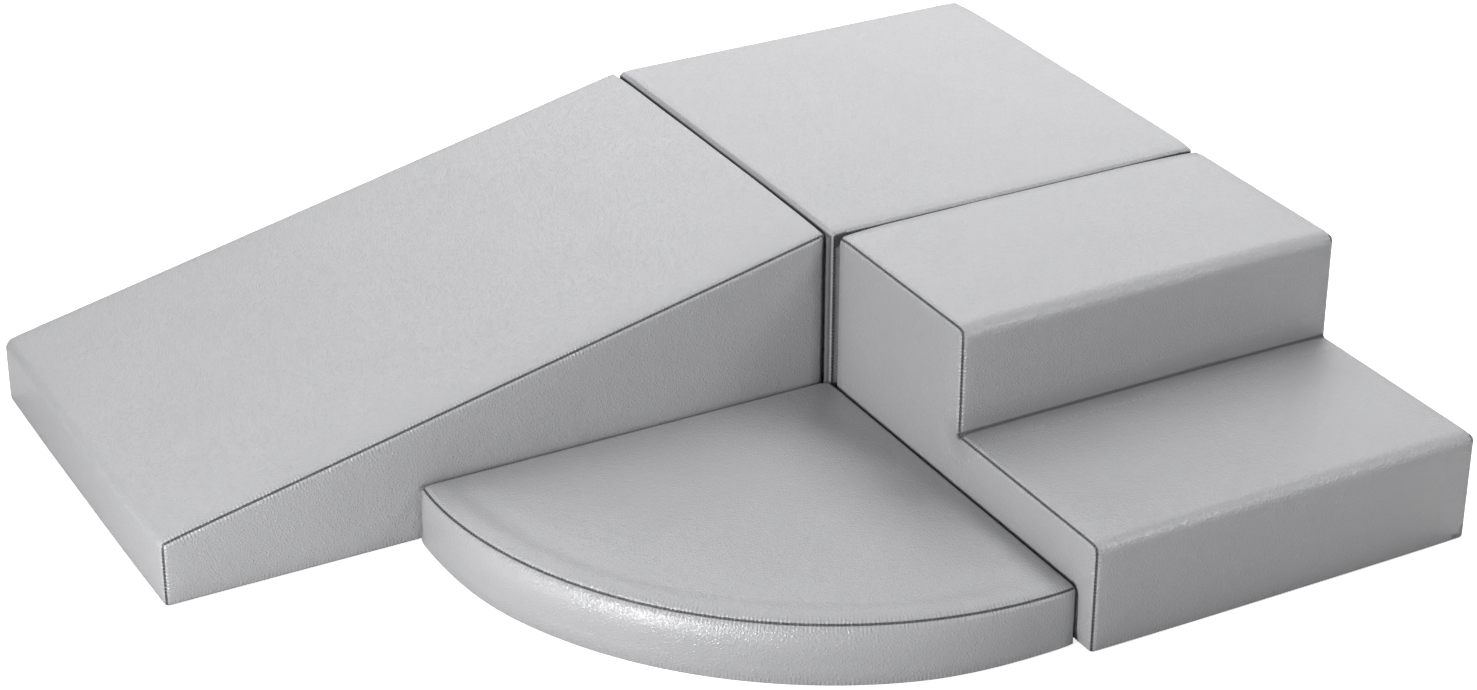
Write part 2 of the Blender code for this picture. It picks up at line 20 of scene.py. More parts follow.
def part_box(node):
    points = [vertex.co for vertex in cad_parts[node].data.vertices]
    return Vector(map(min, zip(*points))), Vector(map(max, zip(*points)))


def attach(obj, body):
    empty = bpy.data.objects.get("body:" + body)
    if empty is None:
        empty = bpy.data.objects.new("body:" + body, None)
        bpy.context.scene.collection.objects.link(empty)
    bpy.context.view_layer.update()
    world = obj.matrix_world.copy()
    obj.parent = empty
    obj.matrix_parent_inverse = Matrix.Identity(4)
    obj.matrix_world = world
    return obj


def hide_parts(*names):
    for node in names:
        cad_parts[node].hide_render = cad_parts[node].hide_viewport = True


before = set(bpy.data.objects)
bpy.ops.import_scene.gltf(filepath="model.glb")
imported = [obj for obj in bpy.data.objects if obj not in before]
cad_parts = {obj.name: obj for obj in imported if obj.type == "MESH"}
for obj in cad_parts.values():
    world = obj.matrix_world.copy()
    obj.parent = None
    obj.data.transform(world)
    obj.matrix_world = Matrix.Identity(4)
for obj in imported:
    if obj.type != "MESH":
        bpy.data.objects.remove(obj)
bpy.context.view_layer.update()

# %% [markdown]
# ## The camera
#
# The picture was taken from the front left, well above the set, with a fairly long lens. Its angles were
# found by laying the block's known corners over the picture. A camera looks along its own -Z, which
# to_track_quat turns along the line of sight. The small roll comes last, about that line.

# %% Place the camera
PICTURE_WIDTH_PX = 1477
FOCAL_LENGTH_PX = 3342
SENSOR_WIDTH_MM = 36
AZIMUTH = math.radians(-28.84)
ELEVATION = math.radians(27.67)
ROLL = math.radians(0.22)
CAMERA_FROM_CORNER = Vector((-2.019, -3.412, 2.215))


def extent(points):
    """The lowest and the highest corner of a box round some points."""
    columns = list(zip(*points))
    return Vector(map(min, columns)), Vector(map(max, columns))


def union_box(*nodes):
    """The box round several nodes of the construction together."""
    return extent([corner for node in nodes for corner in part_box(node)])


def placed(name, data):
    """A new object in the scene."""
    obj = bpy.data.objects.new(name, data)
    bpy.context.scene.collection.objects.link(obj)
    return obj


block_low, block_high = union_box("block_cover_band", "block_front_side_panel", "block_back_side_panel")
meeting_corner = Vector((block_low.x, block_low.y, 0))
sight = Vector((-math.sin(AZIMUTH) * math.cos(ELEVATION), math.cos(AZIMUTH) * math.cos(ELEVATION),
                -math.sin(ELEVATION)))
camera = placed("camera", bpy.data.cameras.new("camera"))
camera.location = meeting_corner + CAMERA_FROM_CORNER
camera.rotation_mode = "QUATERNION"
camera.rotation_quaternion = sight.to_track_quat("-Z", "Y") @ Quaternion((0, 0, 1), ROLL)
camera.data.sensor_width = SENSOR_WIDTH_MM
camera.data.lens = FOCAL_LENGTH_PX * SENSOR_WIDTH_MM / PICTURE_WIDTH_PX
bpy.context.scene.camera = camera
print("camera at", tuple(round(x, 3) for x in camera.location), "lens", round(camera.data.lens, 1), "mm")

# %% [markdown]
# ## From an outline to a rounded form
#
# Each module is an outline carried across a width. Its edges are rounded to different radii: a firm 4 to 7
# mm where a seam runs or a neighbour stands, a softer 12 or 18 mm where the cover folds over the foam in
# the open. One bevel has to make them all together, or they would collide at the corners. So the few edges
# of a sharp-cornered cage hold their radii as bevel weights, and a Bevel modifier reads them. With an even
# number of segments, the borders between the panels run along the middle of the rounded edges, where the
# real seams are.

# %% Build a cage and round it
BAND, NEAR, FAR, BASE = range(4)
BEVEL_SEGMENTS = 8
FLOOR_EDGE_RADIUS = 0.004
SMALL_ANGLE = math.radians(8)
X_Z_AXES = Matrix(((1, 0, 0), (0, 0, 1), (0, 1, 0)))
Y_Z_AXES = Matrix(((0, 0, 1), (1, 0, 0), (0, 1, 0)))
X_Y_AXES = Matrix.Identity(3)

Corner = namedtuple("Corner", "x y fold panel")
End = namedtuple("End", "panel radius")


def cage(corners, low, high, axes, near, far):
    """A block of few faces, with each face's panel and each edge's radius noted on it."""
    bm = bmesh.new()
    radius = bm.edges.layers.float.new("radius")
    start = [bm.verts.new(axes @ Vector((c.x, c.y, low))) for c in corners]
    near_face = bm.faces.new(start)
    grown = bmesh.ops.extrude_face_region(bm, geom=[near_face], use_keep_orig=True)["geom"]
    stop = {item for item in grown if isinstance(item, bmesh.types.BMVert)}
    bmesh.ops.translate(bm, verts=list(stop), vec=axes @ Vector((0, 0, high - low)))
    far_face = next(face for face in bm.faces if stop.issuperset(face.verts))
    near_face.material_index, far_face.material_index = near.panel, far.panel
    for vert, following, corner in zip(start, start[1:] + start[:1], corners):
        rise = next(edge for edge in vert.link_edges if edge.other_vert(vert) in stop)
        rise[radius] = corner.fold
        rim = bm.edges.get((vert, following))
        side = next(face for face in rim.link_faces if face is not near_face)
        side.material_index = corner.panel
        far_rim = next(edge for edge in side.edges if stop.issuperset(edge.verts))
        for edge, end in ((rim, near), (far_rim, far)):
            edge[radius] = FLOOR_EDGE_RADIUS if BASE in (corner.panel, end.panel) else end.radius
    bmesh.ops.recalc_face_normals(bm, faces=bm.faces)
    return bm


def rounded(bm):
    """Rounds each edge of a cage to the radius that is noted on it, and gives back a new bmesh."""
    bm.normal_update()
    weight = bm.edges.layers.float.new("bevel_weight_edge")
    radius = bm.edges.layers.float["radius"]
    widths = {}
    for edge in bm.edges:
        turn = edge.calc_face_angle()
        if turn > SMALL_ANGLE:
            widths[edge] = edge[radius] * math.tan(turn / 2)
    widest = max(widths.values())
    for edge, width in widths.items():
        edge[weight] = width / widest
    mesh = bpy.data.meshes.new("cage")
    bm.to_mesh(mesh)
    bm.free()
    for _ in range(BASE + 1):
        mesh.materials.append(None)
    draft = placed("cage", mesh)
    bevel = draft.modifiers.new("rounding", "BEVEL")
    bevel.limit_method = "WEIGHT"
    bevel.width = widest
    bevel.segments = BEVEL_SEGMENTS
    bevel.offset_type = "OFFSET"
    evaluated = draft.evaluated_get(bpy.context.evaluated_depsgraph_get())
    made = bmesh.new()
    made.from_mesh(evaluated.to_mesh())
    evaluated.to_mesh_clear()
    bpy.data.objects.remove(draft)
    bpy.data.meshes.remove(mesh)
    return made


# %% [markdown]
# ## A grid to shape
#
# Flat faces have no points in their middle to push about, so the form is sliced like a loaf, along X, Y and
# Z in turn. bisect_plane cuts only the faces that it is given. Those that lie almost flat against a slice,
# like the ramp's slope against the level ones, are left out of it. Extra slices go where a tone has to
# change within a few millimetres.

# %% Slice a form into a grid
SLICE = 0.008
CLEAR_OF_EDGES = 0.022
FLAT_AGAINST = 0.95
MERGE = 1e-5


def cut(bm, faces, place, normal):
    """Cuts the given faces with a plane, and no others."""
    edges = {edge for face in faces for edge in face.edges}
    verts = {vert for face in faces for vert in face.verts}
    bmesh.ops.bisect_plane(bm, geom=[*verts, *edges, *faces], plane_co=place, plane_no=normal, dist=MERGE)


def sliced(bm, axes=(0, 1, 2), extra_heights=()):
    """Lays an even grid over a form, after cutting it at any extra heights."""
    for height in extra_heights:
        cut(bm, bm.faces[:], (0, 0, height), (0, 0, 1))
    for axis in axes:
        normal = Vector((0, 0, 0))
        normal[axis] = 1
        places = [vert.co[axis] for vert in bm.verts]
        low, high = min(places) + CLEAR_OF_EDGES, max(places) - CLEAR_OF_EDGES
        count = max(round((high - low) / SLICE), 1)
        for step in range(count + 1):
            bm.normal_update()
            faces = [face for face in bm.faces if abs(face.normal[axis]) < FLAT_AGAINST]
            cut(bm, faces, normal * (low + (high - low) * step / count), normal)
    return bm


def ringed(bm, face, shares):
    """Divides a flat face into rings that shrink towards its middle."""
    middle = face.calc_center_median_weighted()
    reached = 1.0
    for share in shares:
        bmesh.ops.inset_individual(bm, faces=[face], thickness=0)
        bmesh.ops.scale(bm, vec=(share / reached,) * 3, space=Matrix.Translation(-middle),
                        verts=face.verts)
        reached = share
    bmesh.ops.poke(bm, faces=[face])


# %% [markdown]
# ## Seams
#
# Two panels are sewn together with their edges turned in, so a seam is a narrow ditch between two soft
# lips, with the thread deep in it. Bevelling the border edges with two segments gives a strip with one row
# of points along its middle, and pushing that row in makes the ditch. The strip is narrower than the facets
# of the smallest rounding, or it would fold over on them. Every point then learns how far it lies from the
# nearest seam, and how far along it, for the shaping below and for the puckers in the leather.

# %% Sew the panels and measure from the seams
DITCH_HALF_WIDTH = 0.0007
DITCH_DEPTH = 0.0015
SEAM_SAMPLE = 0.001


def borders(bm):
    return [edge for edge in bm.edges if len(edge.link_faces) == 2
            and edge.link_faces[0].material_index != edge.link_faces[1].material_index]


def sewn(bm):
    edges = borders(bm)
    verts = list({vert for edge in edges for vert in edge.verts})
    bmesh.ops.bevel(bm, geom=verts + edges, offset=DITCH_HALF_WIDTH, offset_type="OFFSET", segments=2,
                    profile=0.5, affect="EDGES", material=-1)
    return bm


def seam_runs(bm):
    """The seams as rows of points, each from one meeting of seams to the next or once round."""
    links = {}
    for edge in borders(bm):
        for vert in edge.verts:
            links.setdefault(vert, []).append(edge)
    used = set()
    runs = []
    starts = [vert for vert, edges in links.items() if len(edges) != 2]
    for start in starts + list(links):
        for edge in links[start]:
            run = [start]
            while edge is not None and edge not in used:
                used.add(edge)
                run.append(edge.other_vert(run[-1]))
                onward = [other for other in links[run[-1]] if other not in used]
                edge = onward[0] if len(links[run[-1]]) == 2 and onward else None
            if len(run) > 1:
                runs.append(run)
    return runs


def measured_from_seams(bm):
    """Notes on each point its distance from the nearest seam and its place along it."""
    samples = []
    for run in seam_runs(bm):
        reached = 0.0
        for first, second in zip(run, run[1:]):
            length = (second.co - first.co).length
            count = max(math.ceil(length / SEAM_SAMPLE), 1)
            samples += [(first.co.lerp(second.co, step / count), reached + length * step / count)
                        for step in range(count)]
            reached += length
    tree = KDTree(len(samples))
    for index, (place, _) in enumerate(samples):
        tree.insert(place, index)
    tree.balance()
    from_seam = bm.verts.layers.float.new("from_seam")
    along_seam = bm.verts.layers.float.new("along_seam")
    for vert in bm.verts:
        _, index, distance = tree.find(vert.co)
        vert[from_seam] = distance
        vert[along_seam] = samples[index][1]
    return bm


# %% [markdown]
# ## Padding
#
# Firm foam fills a tight cover, which stands proud in the middle of a panel and is drawn in at the seams. A
# cloth simulation would round off the edges that firm foam keeps, so the points are shifted instead. Near a
# seam, those of each flat side move inwards by that side's crown, and the shift fades out towards the
# panel's middle. The puff adds the stronger curve close to the seams, though not where a neighbour stands.
# On top lie the lips beside the seams, the slack waves of a cover that is sewn by hand, and short puckers
# that run away from the seams.
#
# Each point also learns how much painted shade it takes. It lies in the crease of the steps, just below
# the mat's top on the sides behind it, and along the open edges of the sides that stand against a
# neighbour, where the gaps are in shadow. Some of those edges are a touch fuller, because foam that is
# pushed against foam closes the gap.

# %% Draw a form in at its seams
FADE_DEPTH = 0.060
LIP_HEIGHT = 0.0005
LIP_FROM_SEAM = 0.0045
LIP_WIDTH = 0.0028
# The crease's fillet gets painted shade, and a fainter painted shade lies further round it.
CREASE_NEAREST = 0.0032
CREASE_REACH = 0.0055
CREASE_FILLET_SHADE = 0.95
CREASE_SHADE_REACH = 0.045
CREASE_SHADE = 0.25
PUFF_HEIGHT = 0.0023
PUFF_REACH = 0.009
LONG_WAVE = 0.17
LONG_WAVE_HEIGHT = 0.0009
SHORT_WAVE = 0.055
SHORT_WAVE_HEIGHT = 0.00035
PUCKER_LENGTH = 0.020
PUCKER_REACH = 0.014
PUCKER_HEIGHT = 0.0005
# Painted shade for the shadow in the gaps, along the edges of the sides that face a neighbour.
PAINTED_SHADE_STARTS = 0.003
PAINTED_SHADE_REACH = 0.015
EDGE_FULLNESS = 0.0009
HIDDEN_FROM = 0.5
HEAD_ON_FROM = 2 / 3
DIAGONAL = math.sqrt(0.5)

Side = namedtuple("Side", "place normal crown reach power between")


def smooth_step(share):
    """Eases a share from 0 to 1, with no corner at either end."""
    share = min(max(share, 0), 1)
    return share * share * (3 - 2 * share)


def bell(distance, middle, width):
    return math.exp(-((distance - middle) / width) ** 2)


def distance_in(vert, side, from_seam):
    """How far a point lies from what draws its side in: two ends of the module, or any seam."""
    if side.between is None:
        return vert[from_seam]
    axis, low, high = side.between
    return max(min(vert.co[axis] - low, high - vert.co[axis]), 0)


def drawn_in(vert, sides, from_seam):
    """The shift that pulls a point in along the seams of its side."""
    shift = Vector((0, 0, 0))
    for side in sides:
        depth = abs((side.place - vert.co).dot(side.normal))
        hold = 1 - smooth_step(depth / FADE_DEPTH)
        slack = max(1 - distance_in(vert, side, from_seam) / side.reach, 0) ** side.power
        shift -= side.normal * side.crown * slack * hold
    return shift


def relief(place, away, along, seed):
    """How far the cover stands out at one point, apart from its crown."""
    lip = LIP_HEIGHT * bell(away, LIP_FROM_SEAM, LIP_WIDTH)
    puff = PUFF_HEIGHT * (1 - math.exp(-away / PUFF_REACH))
    shifted = place + Vector((seed, seed, seed))
    long_wave = LONG_WAVE_HEIGHT * (0.5 + noise.noise(shifted / LONG_WAVE))
    short_wave = SHORT_WAVE_HEIGHT * (0.5 + noise.noise(shifted / SHORT_WAVE))
    pucker = noise.noise(Vector((along / PUCKER_LENGTH, away / FADE_DEPTH, seed)))
    held = (1 - math.exp(-away / LIP_FROM_SEAM)) * math.exp(-away / PUCKER_REACH)
    settled = smooth_step(away / FADE_DEPTH)
    return lip + puff + (long_wave + short_wave) * settled + PUCKER_HEIGHT * pucker * held


def free_of(normal, neighbours):
    """1 where a point faces the open, 0 where it faces a neighbour."""
    return math.prod(1 - smooth_step(normal.dot(other) / HIDDEN_FROM) for other in neighbours)


def head_on(normal, way):
    """1 where a point looks straight one way, 0 where it looks well past it."""
    return smooth_step((normal.dot(way) - HEAD_ON_FROM) / (1 - HEAD_ON_FROM))


def near_open_edge(vert, low, high):
    """1 along the top and the upright edges of a side, where the painted shade of a gap lies, and 0 further
    in.
    """
    depths = [high.z - vert.co.z]
    for axis in (0, 1):
        if abs(vert.normal[axis]) < DIAGONAL:
            depths += [vert.co[axis] - low[axis], high[axis] - vert.co[axis]]
    return 1 - smooth_step((min(depths) - PAINTED_SHADE_STARTS) / PAINTED_SHADE_REACH)


def near_crease(place, crease):
    """1 in the fillet of a crease along X, fading out close by, and the same fading out further off."""
    away = math.hypot(place.y - crease.y, place.z - crease.z)
    return 1 - smooth_step((away - CREASE_NEAREST) / CREASE_REACH), 1 - smooth_step(away / CREASE_SHADE_REACH)


def padded_out(bm, sides, seed, neighbours, extra_relief=None, crease=None, hidden=None, fuller=None):
    """Draws the sides in along their seams, sinks the ditches, adds the unevenness and the painted shade."""
    painted_shade = bm.verts.layers.float.new("painted_shade")
    low, high = extent([vert.co for vert in bm.verts])
    bm.normal_update()
    from_seam = bm.verts.layers.float["from_seam"]
    along_seam = bm.verts.layers.float["along_seam"]
    ditch = {vert for edge in borders(bm) for vert in edge.verts}
    moved = {}
    for vert in bm.verts:
        height = relief(vert.co, vert[from_seam], vert[along_seam], seed)
        height *= free_of(vert.normal, neighbours)
        near_edge = near_open_edge(vert, low, high)
        # Painted shade on the open edges that face a neighbour, for the shadow in the gap.
        vert[painted_shade] = max(head_on(vert.normal, neighbour) for neighbour in neighbours) * near_edge
        if fuller is not None:
            height += EDGE_FULLNESS * head_on(vert.normal, fuller) * near_edge
        # Painted shade for the shadow below the mat's top.
        if hidden is not None:
            vert[painted_shade] = max(vert[painted_shade], hidden(vert.co))
        if extra_relief is not None:
            height += extra_relief(vert.co, vert.normal)
        if vert in ditch:
            height = -DITCH_DEPTH
        if crease is not None:
            # Painted shade in the crease's fillet and around it.
            close, around = near_crease(vert.co, crease)
            vert[painted_shade] = max(vert[painted_shade], CREASE_FILLET_SHADE * close, CREASE_SHADE * around)
            if vert in ditch:
                height *= 1 - close
        above_floor = 1 - smooth_step(-vert.normal.z)
        moved[vert] = vert.co + drawn_in(vert, sides, from_seam) + vert.normal * height * above_floor
    for vert, place in moved.items():
        vert.co = place
    bm.normal_update()
    return bm


# %% [markdown]
# ## From a form to pieces
#
# A sewn cover comes off its foam in one piece, so each module has one leather piece, which is given the
# thickness of the cloth, and one base of non-slip cloth. Both are cut from the same form, so they meet
# along the same seam.

# %% Turn a form into a cover and a base
COVER_THICKNESS = 0.0012


def new_object(name, bm, finish):
    mesh = bpy.data.meshes.new(name)
    bm.to_mesh(mesh)
    bm.free()
    mesh.materials.clear()
    mesh.materials.append(finish)
    mesh.shade_smooth()
    return placed(name, mesh)


def cloth_piece(name, form, keep, finish):
    """The part of a form whose panels keep() chooses, with the thickness of the cover."""
    bm = form.copy()
    others = [face for face in bm.faces if not keep(face.material_index)]
    bmesh.ops.delete(bm, geom=others, context="FACES")
    for face in bm.faces:
        face.material_index = 0
    obj = new_object(name, bm, finish)
    shell = obj.modifiers.new("cover thickness", "SOLIDIFY")
    shell.thickness = COVER_THICKNESS
    shell.offset = -1
    shell.thickness_clamp = 1
    return obj


# %% [markdown]
# ## Stitches
#
# A seam under tension opens a little, and its thread shows as a row of short bars across the ditch. Each
# stitch is the same small bead, stretched and turned to its place by a matrix of its own. There are
# thousands of them, so the bead is made once and its points are copied.

# %% Make rows of stitches
STITCH_PITCH = 0.0050
STITCH_RADIUS = 0.00055
STITCH_HALF_LENGTH = 0.0012
STITCH_LIFT = 0.0006
BEAD_SEGMENTS = 6
BEAD_RINGS = 4


def bead():
    """The points and faces of a small sphere of radius 1."""
    bm = bmesh.new()
    bmesh.ops.create_uvsphere(bm, u_segments=BEAD_SEGMENTS, v_segments=BEAD_RINGS, radius=1)
    bm.verts.index_update()
    points = [vert.co.copy() for vert in bm.verts]
    faces = [[vert.index for vert in face.verts] for face in bm.faces]
    bm.free()
    return points, faces


def bead_at(place, along, out, half_length, radius=STITCH_RADIUS):
    """The matrix that takes the bead to its place, drawn out or flattened along one way."""
    across = along.cross(out).normalized()
    turned = Matrix((across * radius, out * radius, along * half_length)).transposed()
    return Matrix.Translation(place) @ turned.to_4x4()


def beads(name, matrices, finish):
    """One object with a bead for every matrix."""
    points, faces = bead()
    all_points = [matrix @ point for matrix in matrices for point in points]
    all_faces = [[index + turn * len(points) for index in face]
                 for turn in range(len(matrices)) for face in faces]
    mesh = bpy.data.meshes.new(name)
    mesh.from_pydata(all_points, [], all_faces)
    mesh.materials.append(finish)
    mesh.shade_smooth()
    return placed(name, mesh)


def seam_stitches(form):
    """Bars across every ditch, at an even pitch."""
    matrices = []
    for run in seam_runs(form):
        spare = STITCH_PITCH / 2
        for first, second in zip(run, run[1:]):
            way = second.co - first.co
            length = way.length
            if length == 0:
                continue
            along = way / length
            while spare < length:
                share = spare / length
                out = first.normal.lerp(second.normal, share).normalized()
                place = first.co.lerp(second.co, share) + out * STITCH_LIFT
                matrices.append(bead_at(place, along.cross(out).normalized(), out, STITCH_HALF_LENGTH))
                spare += STITCH_PITCH
            spare -= length
    return matrices


# %% [markdown]
# Topstitches hold the tape of a zip or a strip down along its border. They lie on the cloth, so every
# one of them is dropped onto it by a ray cast from outside.

# %% Sew a rectangle onto a surface
TOPSTITCH_PITCH = 0.0038
TOPSTITCH_HALF_LENGTH = 0.0014
CAST_FROM = 0.03


def stitched_rectangle(tree, middle, along, out, half_length, half_height):
    """Matrices for the stitches of a rectangle that lies across the Z axis."""
    across = Vector((0, 0, 1))
    corners = [middle + along * half_length * a + across * half_height * b
               for a, b in ((-1, -1), (1, -1), (1, 1), (-1, 1))]
    matrices = []
    for start, stop in zip(corners, corners[1:] + corners[:1]):
        way = stop - start
        count = max(round(way.length / TOPSTITCH_PITCH), 1)
        for step in range(count):
            place = start.lerp(stop, (step + 0.5) / count)
            hit, normal, _, _ = tree.ray_cast(place + out * CAST_FROM, -out, 2 * CAST_FROM)
            if hit is not None:
                matrices.append(bead_at(hit, way.normalized(), normal, TOPSTITCH_HALF_LENGTH))
    return matrices


# %% [markdown]
# ## Zips
#
# A zip lies in a slot of its panel. Its tapes, coils and slider are packed already, so the cover needs only
# the slot: four cuts through the few faces about it, and then the faces inside are taken away. A wound coil
# shows as a row of small ribs, and those are beads too, flattened along the zip. They stay within the
# coil's radius, which leaves the slider room to run.

# %% Open the covers for their zips
ZIP_SLOT_WIDTH = 0.011
ZIP_LIP_DEPTH = 0.0008
TOPSTITCH_FROM_SLOT = 0.0035
TAPE_SLIT = 0.0012
COIL_RADIUS = 0.0012
TOOTH_PITCH = 0.0014
TOOTH_HALF_LENGTH = 0.0005
TOOTH_OFFSET_SHARE = 0.25

ZipLine = namedtuple("ZipLine", "middle along out length")


def zip_line(module):
    """Where a module's zip lies, read from its tapes."""
    low, high = union_box(f"{module}_zip_upper_tape", f"{module}_zip_lower_tape")
    size = high - low
    along, out = (Vector((1, 0, 0)), Vector((0, 1, 0)))
    if size.y > size.x:
        along, out = out, along
    return ZipLine((low + high) / 2, along, out, size.dot(along))


def cut_slot(bm, line):
    """Cuts a rectangle out of the panel over a zip and turns its edges in a little."""
    half_length, half_width = line.length / 2, ZIP_SLOT_WIDTH / 2

    def within(place, room):
        away = place - line.middle
        return (abs(away.dot(line.along)) < half_length + room and abs(away.z) < half_width + room
                and away.dot(line.out) > -CAST_FROM)

    for side, half in ((line.along, half_length), (Vector((0, 0, 1)), half_width)):
        for normal in (side, -side):
            bm.normal_update()
            faces = [face for face in bm.faces if face.normal.dot(line.out) > FLAT_AGAINST
                     and any(within(vert.co, 2 * SLICE) for vert in face.verts)]
            cut(bm, faces, line.middle + normal * half, normal)
    opened = [face for face in bm.faces if within(face.calc_center_median(), 0)
              and face.normal.dot(line.out) > FLAT_AGAINST]
    bmesh.ops.delete(bm, geom=opened, context="FACES")
    lip = {vert for edge in bm.edges if edge.is_boundary for vert in edge.verts}
    bmesh.ops.translate(bm, verts=list(lip), vec=-line.out * ZIP_LIP_DEPTH)
    return len(opened)


def zip_teeth(line):
    """Matrices for the ribs of both coils."""
    matrices = []
    count = int(line.length / TOOTH_PITCH)
    for side in (-1, 1):
        coil = line.middle + Vector((0, 0, side * (TAPE_SLIT / 2 + COIL_RADIUS)))
        for step in range(count):
            reached = (step + 0.5 + side * TOOTH_OFFSET_SHARE) * TOOTH_PITCH
            place = coil + line.along * (reached - line.length / 2)
            matrices.append(bead_at(place, line.along, line.out, TOOTH_HALF_LENGTH, COIL_RADIUS))
    return matrices


# %% [markdown]
# ## Shader maths
#
# A material is a graph of nodes, and sums read better than wires. Wire stands for one output socket.
# Its operators each add a Math node, so an expression in Python becomes a piece of the graph.

# %% Write shaders as expressions
class Wire:
    """An output socket that can be used in sums."""

    def __init__(self, graph, socket):
        self.graph = graph
        self.socket = socket

    def maths(self, operation, *values):
        inputs = dict(enumerate(values))
        return self.graph.node("Math", {"operation": operation}, inputs)

    def __add__(self, other):
        return self.maths("ADD", self, other)

    __radd__ = __add__

    def __sub__(self, other):
        return self.maths("SUBTRACT", self, other)

    def __rsub__(self, other):
        return self.maths("SUBTRACT", other, self)

    def __mul__(self, other):
        return self.maths("MULTIPLY", self, other)

    __rmul__ = __mul__


class Graph:
    """A new material and the nodes in it."""

    def __init__(self, name):
        self.material = bpy.data.materials.new(name)
        self.material.use_nodes = True
        self.nodes = self.material.node_tree.nodes
        self.links = self.material.node_tree.links
        self.shader = self.nodes["Principled BSDF"]

    def feed(self, node, inputs):
        for key, value in inputs.items():
            if isinstance(value, Wire):
                self.links.new(value.socket, node.inputs[key])
            else:
                node.inputs[key].default_value = value

    def node(self, kind, settings=None, inputs=None, output=0):
        """Adds a shader node: its settings first, then its sockets' values or links."""
        node = self.nodes.new("ShaderNode" + kind)
        for name, value in (settings or {}).items():
            setattr(node, name, value)
        self.feed(node, inputs or {})
        return Wire(self, node.outputs[output])

    def surface(self, **inputs):
        """Sets the Principled shader's sockets; words stand for names, as Base_Color does."""
        self.feed(self.shader, {name.replace("_", " "): value for name, value in inputs.items()})
        return self.material

    def mixed(self, share, first, second):
        """A colour between two. The node has a set of sockets per type, so these go by number."""
        return self.node("Mix", {"data_type": "RGBA", "clamp_factor": True},
                         {0: share, 6: first, 7: second}, output=2)

    def noise(self, place, scale, detail=2, **more):
        inputs = {"Vector": place, "Scale": scale, "Detail": detail, **more}
        return self.node("TexNoise", None, inputs)

    def place(self, scale=(1, 1, 1)):
        """Object coordinates in metres, stretched by scale."""
        coordinates = self.node("TexCoord", output="Object")
        return self.node("VectorMath", {"operation": "MULTIPLY"},
                         {0: coordinates, 1: scale})

    def attribute(self, name):
        return self.node("Attribute", {"attribute_name": name}, output="Fac")

    def ranged(self, value, low, high, low_result=0.0, high_result=1.0):
        return self.node("MapRange", {"interpolation_type": "SMOOTHSTEP"},
                         {"Value": value, "From Min": low, "From Max": high,
                          "To Min": low_result, "To Max": high_result})

    def bump(self, height, distance, normal=None):
        inputs = {"Height": height, "Distance": distance, "Strength": 1.0}
        if normal is not None:
            inputs["Normal"] = normal
        return self.node("Bump", None, inputs)


# %% [markdown]
# ## Grey faux leather
#
# The cover is a light grey faux leather with a fine pebble grain and a satin gloss. A Voronoi texture's
# distance to the nearest cell edge gives pebbles with narrow valleys, and warping the coordinates with
# noise first makes them irregular. A finer noise lies on top, and near the seams the puckers join in. The
# valleys are darkened with painted shade, and the pebbles are a touch glossier. The seam ditches carry a
# darker painted shade. The crease of the steps, the sides just below the top of the mat and the edges
# that stand against a neighbour carry painted shade too, for the shadows there, and there the leather is
# rougher and has no coat.

# %% Mix the leather
LEATHER_COLOUR = (0.48, 0.48, 0.495, 1)
LEATHER_SHADE = (0.36, 0.36, 0.372, 1)
# The colour of the painted shade in the crease, in the gaps and behind the mat.
PAINTED_SHADE_COLOUR = (0.07, 0.07, 0.072, 1)
# Painted shade in the seam ditches.
SEAM_SHADE = (0.045, 0.045, 0.047, 1)
SHADE_SHARE = 0.3
SEAM_SHADE_FROM, SEAM_SHADE_TO = 0.0008, 0.0023
GRAIN_PER_METRE = 250
GRAIN_DEPTH = 0.00052
PEBBLE_TOP = 0.5
WARP_PER_METRE = 200
WARP_LENGTH = 0.0014
FINE_PER_METRE = 2600
FINE_SHARE = 0.25
BROAD_PER_METRE = 7
UNEVEN_PER_METRE = 60
UNEVEN_TURNS = 3
CRUMPLES_PER_METRE = 95
CRUMPLE_DISTORTION = 0.8
CRUMPLE_DEPTH = 0.0007
PUCKER_DEPTH = 0.0005
PUCKER_FROM, PUCKER_TO = 0.0012, 0.0130
ROUGHNESS = 0.26
PEBBLE_GLOSS = 0.05
BROAD_ROUGHNESS = 0.03
# Extra roughness where the painted shade lies, so that no highlight shows in the crease.
PAINTED_SHADE_ROUGHNESS = 0.7
SPECULAR_LEVEL = 0.9
REFRACTION = 1.5
COAT = 0.2
COAT_ROUGHNESS = 0.3


